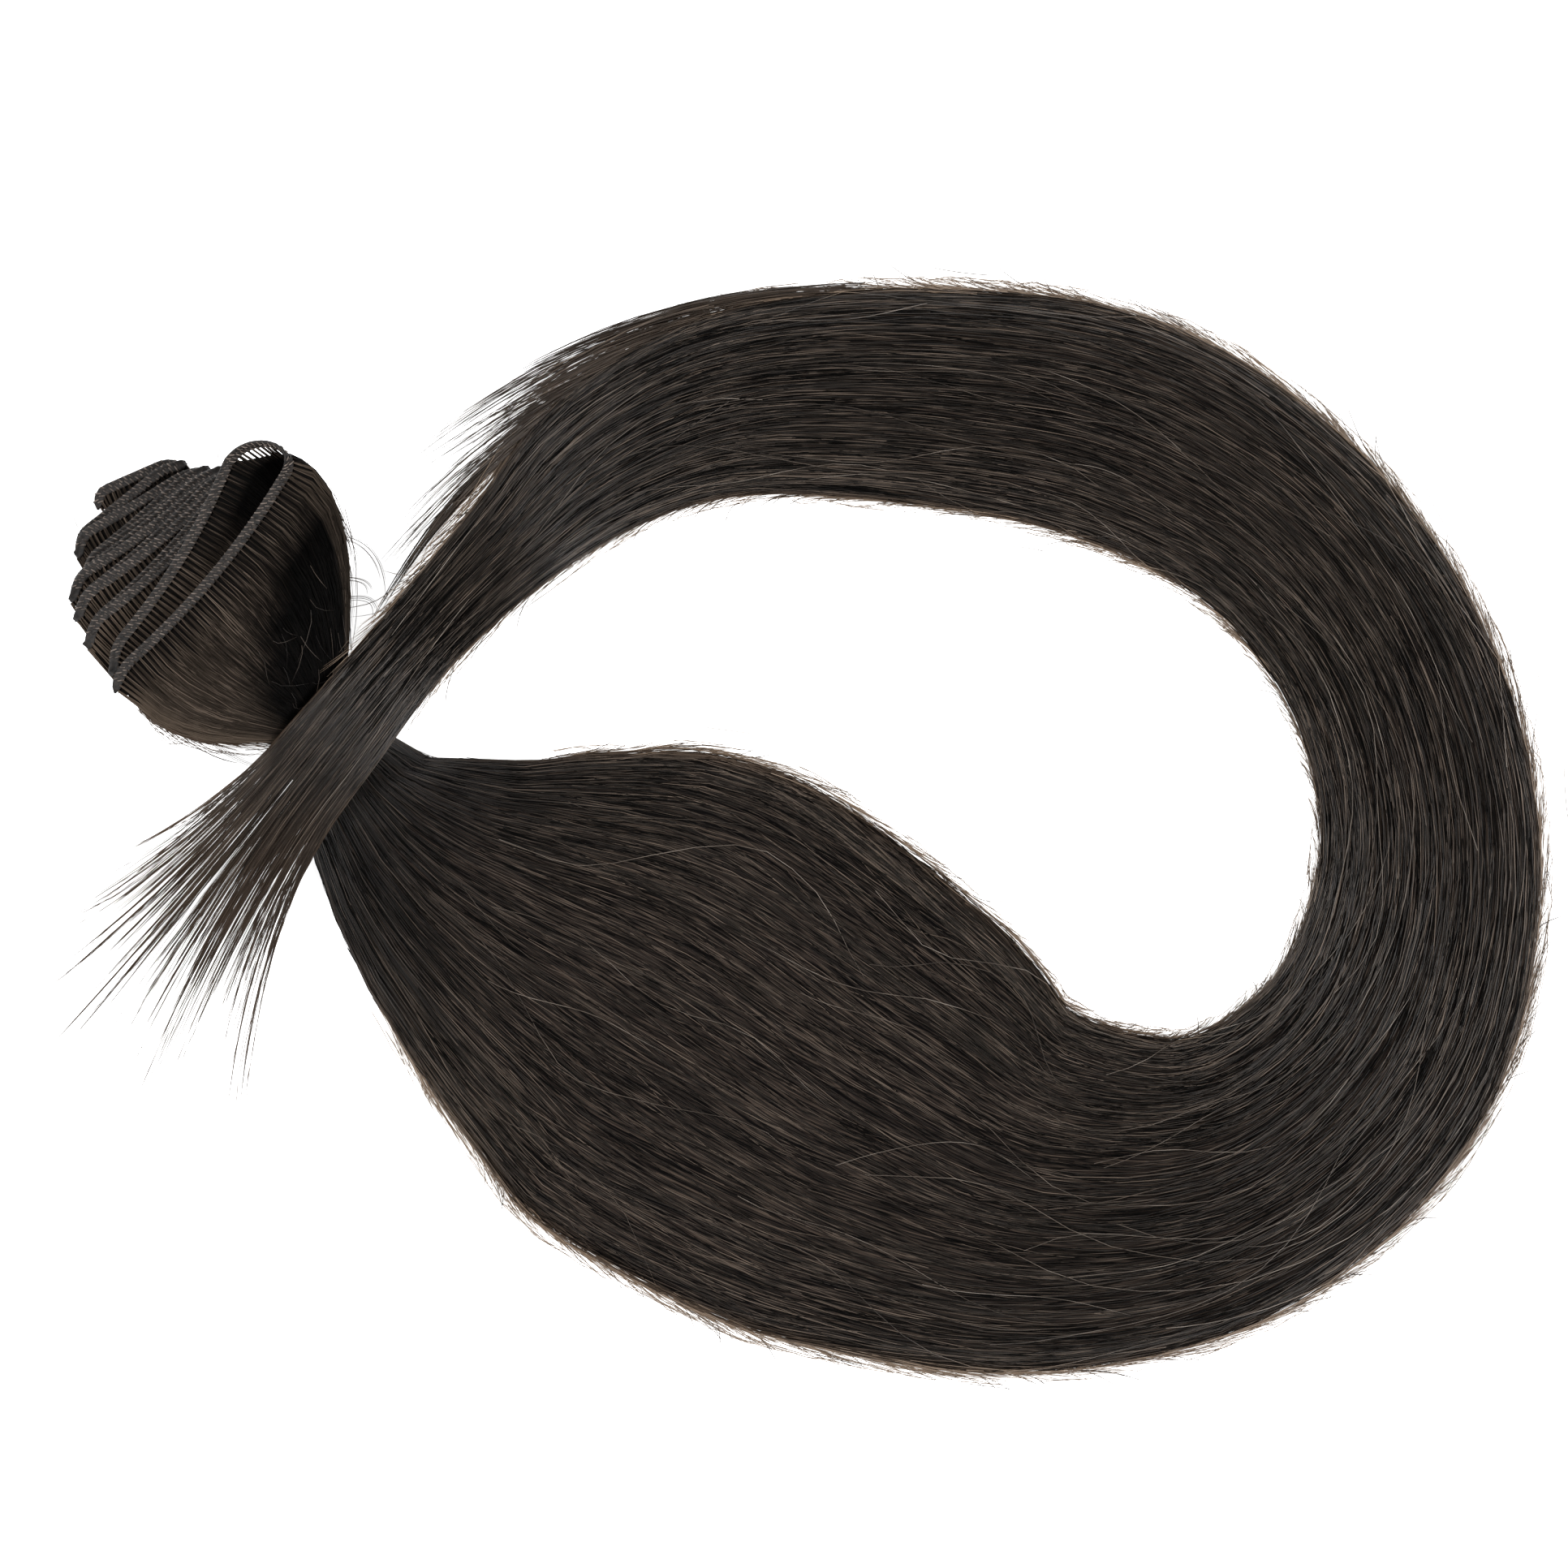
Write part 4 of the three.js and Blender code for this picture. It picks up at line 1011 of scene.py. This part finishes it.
# %% Short broken hairs over the top run, leaning both ways
for name, seed, lean in (("broken_hair_left", 23, -0.3), ("broken_hair_right", 24, 0.3)):
    grow(name, top_lay, comb, "hair", lay_length=CROWN_LENGTH, strands=16, steps=4, radius=0.00005,
         start_from=0.25, start_to=0.75, shortest=0.05, longest=0.16, depth_from=-1.6, depth_to=-0.6,
         own_drift=0.004, own_waves=2.0, lean=lean, seed=seed, material=dyed_hair)

# %% Backing under the tufts, with painted shade just below the seam
BACKING = 0.12
BACKING_DROP = 0.4
BACKING_STATIONS = 17
BACKING_MARGIN = 0.3
GAP_SHADE = 0.85
BACKING_PARTS = {  # from and to along the seam, columns
    "stack_backing": (BACKING_MARGIN, SPLIT, 330),
    "fold_backing": (SPLIT, TOP_FROM, 60),
    "top_backing": (TOP_FROM, SEAM_LENGTH - BACKING_MARGIN, 50)}
FOLD_SLITS = np.array([  # level on the open fold, rows left open below it
    (12.0, 0), (12.02, 0.6), (12.06, 1.1), (12.14, 1.35), (12.3, 1.5), (12.5, 1.4), (12.66, 1.1),
    (12.85, 0.2), (13, 0)])
for name, (first, last, columns) in BACKING_PARTS.items():
    walk = np.linspace(first, last, columns)
    grid, shares, dark, warm = crown_grid(walk, BACKING_STATIONS)
    bare = np.interp(seam_at(walk)["level"], FOLD_SLITS[:, 0], FOLD_SLITS[:, 1])
    row_at = bare + (len(grid) - 1 - bare) * np.linspace(0, 1, len(grid))[:, None]
    row = np.minimum(row_at.astype(int), len(grid) - 2)
    part = (row_at - row)[..., None]
    column = np.arange(columns)
    lowered = grid[row, column] * (1 - part) + grid[row + 1, column] * part - [0, 0, BACKING_DROP]
    normal = np.cross(np.gradient(lowered, axis=1), np.gradient(lowered, axis=0))
    normal *= BACKING / np.linalg.norm(normal, axis=2, keepdims=True)
    # Painted shade: the backing is made dark just below the seam, where the gaps between tufts lie in
    # shade.
    dark = np.maximum(dark, GAP_SHADE * (1 - ease(0.08, 0.3, shares))[:, None])
    backing = closed_body(name, lowered + normal, lowered - normal, dark, warm, CROWN_LENGTH * 1000)
    if name == "stack_backing":
        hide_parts("crown_hair")

# %% [markdown]
# ## The sewn band
# The band is hair roots gripped by threads, so it is a thin narrow strip with a bead along each edge.
# It is swept along the seam as a ring of points at every stitch. It narrows at each fold, which rounds
# the corner, and at both ends, where the real strip is cut and frays to a flap.

# %% Sweep the band
BAND_SECTION = np.array([  # across the band, above its middle
    (-1.6, 0.0), (-1.5, 0.3), (-1.2, 0.34), (-0.9, 0.2), (-0.2, 0.2), (0.1, 0.3), (0.4, 0.22), (0.5, 0.0),
    (0.4, -0.22), (0.1, -0.3), (-0.2, -0.2), (-0.9, -0.2), (-1.2, -0.34), (-1.5, -0.3)])
BAND_MIDDLE = np.array([-0.55, 0])
BAND_MARGIN = 0.05
FOLD_ROUND, FOLD_NARROW, END_ROUND = 2.6, 0.45, 3.0
FOLD_LEVEL, END_FLAT = 0.2, 0.02
band_walk = np.linspace(BAND_MARGIN, SEAM_LENGTH - BAND_MARGIN, STITCHES)
at = seam_at(band_walk)
off_level = np.abs(at["level"] - np.round(at["level"]))
opened = at["level"] > OPEN_FOLD["level"]
fold_middles = band_walk[(off_level > FOLD_LEVEL) & ~opened]
from_fold = np.min(np.abs(band_walk[:, None] - fold_middles[None]), axis=1)
from_end = np.minimum(band_walk, SEAM_LENGTH - band_walk)
near_fold = FOLD_NARROW + (1 - FOLD_NARROW) * np.sqrt(1 - (1 - np.minimum(from_fold / FOLD_ROUND, 1)) ** 2)
near_end = np.sqrt(np.clip(1 - (1 - np.minimum(from_end / END_ROUND, 1)) ** 2, END_FLAT, 1))
narrow = (near_fold * near_end)[:, None, None]
section_at = BAND_MIDDLE + (BAND_SECTION[None] - BAND_MIDDLE) * narrow
across_band = at["hang"][:, None] * section_at[..., :1]
above_band = at["face"][:, None] * section_at[..., 1:]
rings = at["point"][:, None] + across_band + above_band

# %% The band's faces, ring to ring, with a cap at each end
count = len(BAND_SECTION)
ring = np.arange(STITCHES * count).reshape(STITCHES, count)
beside = np.roll(ring, -1, axis=1)
band_faces = np.stack([ring[:-1], beside[:-1], beside[1:], ring[1:]], -1).reshape(-1, 4).tolist()
band_faces += [ring[0, ::-1].tolist(), ring[-1].tolist()]
band_mesh = bpy.data.meshes.new("seam_band")
band_mesh.from_pydata(metres(rings).reshape(-1, 3).tolist(), [], band_faces)
band_mesh.polygons.foreach_set("use_smooth", np.ones(len(band_faces), dtype=bool))
band = place_piece("seam_band", band_mesh)
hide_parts("weft_band")


# %% Materials: spun thread, gripped roots, and later the elastic's woven cover
YARN_RELIEF, YARN_GLOSS = 0.0001, 0.3


def yarn_material(name, per_metre, tones, roughness):
    material = bpy.data.materials.new(name)
    material.use_nodes = True
    tree = material.node_tree
    surface = tree.nodes["Principled BSDF"]
    where = add_node(tree, "ShaderNodeTexCoord").outputs["Object"]
    mottle = add_node(tree, "ShaderNodeTexNoise", {"Vector": where, "Scale": per_metre}).outputs["Fac"]
    ramp = add_node(tree, "ShaderNodeValToRGB", {"Fac": mottle})
    for element, (position, colour) in zip(ramp.color_ramp.elements, tones):
        element.position, element.color = position, linear(colour)
    tree.links.new(ramp.outputs[0], surface.inputs["Base Color"])
    bump = add_node(tree, "ShaderNodeBump", {"Height": mottle, "Distance": YARN_RELIEF}).outputs[0]
    tree.links.new(bump, surface.inputs["Normal"])
    surface.inputs["Roughness"].default_value = roughness
    surface.inputs["Specular IOR Level"].default_value = YARN_GLOSS
    return material


# Spun polyester: short fibres scatter the light, so each loop is grey-brown with a soft glint.
THREAD_TONES = ((0.36, "#1a1613"), (0.64, "#665c55"))
THREAD_MOTTLE = 950.0  # per metre, so patches of about 1 mm
thread = yarn_material("spun polyester thread", THREAD_MOTTLE, THREAD_TONES, roughness=0.5)
# Hair roots under the thread: flat, matt and almost black.
ROOT_TONES = ((0.35, "#070606"), (0.7, "#231e1b"))
ROOT_MOTTLE = 1400.0  # patches of about 0.7 mm
gripped_roots = yarn_material("hair roots under thread", ROOT_MOTTLE, ROOT_TONES, roughness=0.7)
band_mesh.materials.append(gripped_roots)

# %% [markdown]
# ## The stitches
# Along the band's upper face lie two rows of short slanted thread loops, and under it one row of longer
# ones. They repeat along a path, so a second tree puts one small bent loop at every stitch point and
# turns it to the band's own directions. Every second run shows its other face, so the directions are
# first turned to face up on every run.

# %% The needle's inputs
SEW_INPUTS = [
    ("Path", "Geometry", None), ("Long", "Float", 0.0012), ("Thick", "Float", 0.00015),
    ("Arch", "Float", 0.0004), ("Slant", "Float", 0.5), ("Offset", "Float", 0.0),
    ("Height", "Float", 0.0002), ("Loose", "Float", 0.18), ("Seed", "Int", 1),
    ("Material", "Material", None)]
sew, given = new_tree("sew loops along a seam", SEW_INPUTS)

# %% The needle: one bent loop
half = add_node(sew, "ShaderNodeMath", {0: given["Long"], 1: 0.5}, operation="MULTIPLY").outputs[0]
back = add_node(sew, "ShaderNodeMath", {0: given["Long"], 1: -0.5}, operation="MULTIPLY").outputs[0]
first = add_node(sew, "ShaderNodeCombineXYZ", {0: back}).outputs[0]
crown = add_node(sew, "ShaderNodeCombineXYZ", {2: given["Arch"]}).outputs[0]
last = add_node(sew, "ShaderNodeCombineXYZ", {0: half}).outputs[0]
arc = add_node(sew, "GeometryNodeCurveQuadraticBezier",
               {"Resolution": 4, "Start": first, "Middle": crown, "End": last}).outputs[0]
section = add_node(sew, "GeometryNodeCurvePrimitiveCircle", {"Resolution": 4, "Radius": 1.0}).outputs[0]
loop = add_node(sew, "GeometryNodeCurveToMesh",
                {"Curve": arc, "Profile Curve": section, "Scale": given["Thick"],
                 "Fill Caps": True}).outputs[0]

# %% The needle: a loop at every stitch
axes = {}
for label in ("hang", "face", "tangent"):
    axes[label] = add_node(sew, "GeometryNodeInputNamedAttribute", {"Name": label},
                           data_type="FLOAT_VECTOR").outputs[0]
lean = add_node(sew, "FunctionNodeRandomValue", {2: -1.0, 3: 1.0, "Seed": given["Seed"]}).outputs[1]
leaning = add_node(sew, "ShaderNodeMath", {0: lean, 1: given["Loose"], 2: given["Slant"]},
                   operation="MULTIPLY_ADD").outputs[0]
aim = add_node(sew, "ShaderNodeVectorMath", {0: axes["tangent"], 1: leaning, 2: axes["hang"]},
               operation="MULTIPLY_ADD").outputs[0]
turn = add_node(sew, "FunctionNodeAxesToRotation", {0: aim, 1: axes["face"]}, primary_axis="X",
                secondary_axis="Z").outputs[0]
dots = add_node(sew, "GeometryNodeMeshToPoints", {"Mesh": given["Path"]}).outputs[0]
shifted = add_node(sew, "ShaderNodeVectorMath", {0: axes["hang"], 1: given["Offset"]},
                   operation="MULTIPLY").outputs[0]
raised = add_node(sew, "ShaderNodeVectorMath", {0: axes["face"], 1: given["Height"], 2: shifted},
                  operation="MULTIPLY_ADD").outputs[0]
seated = add_node(sew, "GeometryNodeSetPosition", {"Geometry": dots, "Offset": raised}).outputs[0]
sewn = add_node(sew, "GeometryNodeInstanceOnPoints",
                {"Points": seated, "Instance": loop, "Rotation": turn}).outputs[0]
sewn_mesh = add_node(sew, "GeometryNodeRealizeInstances", {"Geometry": sewn}).outputs[0]
rounded = add_node(sew, "GeometryNodeSetShadeSmooth", {"Geometry": sewn_mesh}).outputs[0]
finished = add_node(sew, "GeometryNodeSetMaterial",
                    {"Geometry": rounded, "Material": given["Material"]}).outputs[0]
add_node(sew, "NodeGroupOutput", {0: finished})
print("needle:", len(sew.nodes), "nodes")

# %% Stitch points with their directions, facing up on every run
FOLD_CLEAR, LEVEL_ENOUGH = 0.03, 0.02
stitch_at = seam_at((np.arange(STITCHES) + 0.5) * SEAM_LENGTH / STITCHES)
off_level = np.abs(stitch_at["level"] - np.round(stitch_at["level"]))
clear_left = stitch_at["along"] > FOLD_CLEAR
clear_right = (stitch_at["along"] < 1 - FOLD_CLEAR) | (stitch_at["level"] > OPEN_FOLD["level"] - 0.5)
flat_here = (off_level < LEVEL_ENOUGH) | (stitch_at["level"] > OPEN_FOLD["level"])
on_run = flat_here & clear_left & clear_right
stitch_at = {label: values[on_run] for label, values in stitch_at.items()}
upward = np.where(stitch_at["face"][:, 2:] < 0, -1.0, 1.0)
stitch_at["face"] *= upward
stitch_at["tangent"] *= upward
stitch_mesh = bpy.data.meshes.new("stitch_points")
stitch_mesh.from_pydata(metres(stitch_at["point"]).tolist(), [], [])
for label in ("hang", "face", "tangent"):
    attribute = stitch_mesh.attributes.new(label, "FLOAT_VECTOR", "POINT")
    attribute.data.foreach_set("vector", stitch_at[label].ravel())
stitch_points = bpy.data.objects.new("stitch_points", stitch_mesh)
scene.collection.objects.link(stitch_points)

# %% Two rows of loops above the band and one below it
STITCH_ROWS = {
    "stitches_edge": dict(offset=-0.0011, slant=0.75, seed=4),
    "stitches_root": dict(offset=-0.0001, slant=0.5, seed=5),
    "stitches_under": dict(offset=-0.0006, slant=0.4, long=0.0016, height=-0.0002, arch=-0.0004, seed=6)}
for name, sizes in STITCH_ROWS.items():
    grow(name, stitch_points, sew, "thread", material=thread, **sizes)

# %% [markdown]
# ## Single hairs round the head
# A few hairs have come away from the head: arcs beside and below it, and a thin fringe along both of its
# sides. The arcs are ribbons from a short table, and each fringe is the edge of the upper lay carried
# on outwards.

# %% Arcs beside and below the head
HEAD_STRAYS = np.array([  # root x, y, bend x, y, tip x, y, height
    (-92.4, 58.6, -83.6, 56.5, -85.2, 42.9, 9), (-93.2, 50.5, -85.5, 51.0, -88.4, 44.6, 8),
    (-91.6, 46.6, -84.6, 47.6, -86.9, 40.4, 7), (-97.5, 66.0, -92.5, 62.5, -89.5, 52.5, 10),
    (-131.8, 23.6, -126.0, 14.4, -116.2, 14.3, 3), (-127.4, 20.8, -121.0, 14.0, -111.5, 13.4, 3),
    (-120.4, 18.4, -115.0, 13.0, -107.0, 12.4, 3), (-134.4, 26.4, -131.0, 18.6, -124.0, 15.0, 3),
    (-146.6, 61.0, -148.6, 64.0, -147.2, 67.5, 3), (-118.0, 74.0, -117.2, 77.4, -120.5, 77.0, 6)])
STRAY_WIDTHS = (1.6, 2.4)
HAIRS_PER_STRAY = 4
strays = []
for row in HEAD_STRAYS:
    root, bend, tip = (np.append(row[k:k + 2], row[6]) for k in (0, 2, 4))
    strays.append((root, bend, tip, *STRAY_WIDTHS))
stray_lay = ribbon_lay("stray_lay", strays, 0.5)
grow("head_strays", stray_lay, comb, "hair", lay_length=0.02, strands=HAIRS_PER_STRAY * len(strays),
     steps=12, radius=0.00007, shortest=0.5, longest=1.0, own_drift=0.01, own_waves=1.5, seed=51,
     tufts=float(len(strays)), material=dyed_hair, **IN_RIBBON)

# %% Fringes along both sides of the head
FRINGE_FROM, FRINGE_DEPTH = -1.0, 1.5
FRINGES = [("fringe_below", -1, 2.6, 110), ("fringe_right", 1, 1.6, 70)]  # piece, side, reach in mm, hairs
fringe_map = np.linspace(0, 1, 7)
grid, shares, _, _ = crown_grid(upper_walk, UPPER_STATIONS)
beside = grid @ NECK_ACROSS
for seed, (name, side, reach, hairs_here) in enumerate(FRINGES, 52):
    rim = grid[np.arange(len(grid)), np.argmax(side * beside, axis=1)]
    spread_out = FRINGE_FROM + (reach - FRINGE_FROM) * fringe_map ** 2
    way = np.gradient(rim, axis=0)
    outward = side * np.stack([-way[:, 1], way[:, 0], 0 * way[:, 0]], -1)
    outward /= np.linalg.norm(outward, axis=1, keepdims=True)
    fringe = rim[:, None] + outward[:, None] * spread_out[None, :, None]
    below = fringe - [0, 0, FRINGE_DEPTH]
    # Painted light: the fringe hairs are warmed strongly, as hair lit through.
    fringe_lay = lay_sheet(name + "_lay", (fringe, below, fringe_map, shares, 0.0, 0.8))
    grow(name, fringe_lay, comb, "hair", lay_length=CROWN_LENGTH, strands=hairs_here, steps=8,
         radius=0.00007, start_from=0.1, start_to=0.55, shortest=0.1, longest=0.3, edge_pull=5.0,
         depth_to=1.5, own_drift=0.05, own_waves=3.0, lean=0.35, seed=seed, material=dyed_hair)
    guides.append(fringe_lay)

# %% [markdown]
# ## The elastic tie
# Under the crossing tail a covered elastic holds the neck. It is three turns of round cord side by side,
# each a ring of points swept round an oval.

# %% Three turns of covered elastic
TIE_CORD, TIE_GAP = 0.78, 0.3
TIE_TURNS = (-1.6, 0.0, 1.6)
TIE_SIDES, TIE_STEPS = 10, 72
turn_angle = np.linspace(0, 2 * np.pi, TIE_STEPS, endpoint=False)[:, None]
cord_angle = np.linspace(0, 2 * np.pi, TIE_SIDES, endpoint=False)[None, :]
out_x, out_z = np.cos(turn_angle), np.sin(turn_angle)
ring_x = out_x * (NECK_WIDTH / 2 + TIE_GAP + TIE_CORD + TIE_CORD * np.cos(cord_angle))
ring_z = out_z * (NECK_HEIGHT / 2 + TIE_GAP + TIE_CORD + TIE_CORD * np.cos(cord_angle))
points, faces = [], []
for turn, shift in enumerate(TIE_TURNS):
    ring_y = shift + TIE_CORD * np.sin(cord_angle) + 0 * out_x
    cord = NECK + ring_x[..., None] * NECK_ACROSS + ring_y[..., None] * NECK_AXIS
    cord[..., 2] += ring_z
    points.append(cord.reshape(-1, 3))
    index = turn * TIE_STEPS * TIE_SIDES + np.arange(TIE_STEPS * TIE_SIDES).reshape(TIE_STEPS, TIE_SIDES)
    ahead, beside = np.roll(index, -1, axis=0), np.roll(index, -1, axis=1)
    faces.append(np.stack([index, ahead, np.roll(beside, -1, axis=0), beside], -1).reshape(-1, 4))
tie_mesh = bpy.data.meshes.new("elastic_tie")
tie_mesh.from_pydata(metres(np.concatenate(points)).tolist(), [], np.concatenate(faces).tolist())
tie_mesh.polygons.foreach_set("use_smooth", np.ones(len(tie_mesh.polygons), dtype=bool))
# Woven cover of the elastic: matt black yarn with a fine grain.
COVER_TONES = ((0.35, "#0c0b0b"), (0.7, "#2b2929"))
COVER_MOTTLE = 1800.0  # patches of about 0.6 mm
woven_cover = yarn_material("woven elastic cover", COVER_MOTTLE, COVER_TONES, roughness=0.75)
tie_mesh.materials.append(woven_cover)
tie = place_piece("elastic_tie", tie_mesh)
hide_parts("tie_band")

# %% Remove the hidden lays and stitch points
for guide in (*guides, stack_lay, upper_lay, top_lay, stray_lay, stitch_points):
    bpy.data.objects.remove(guide)
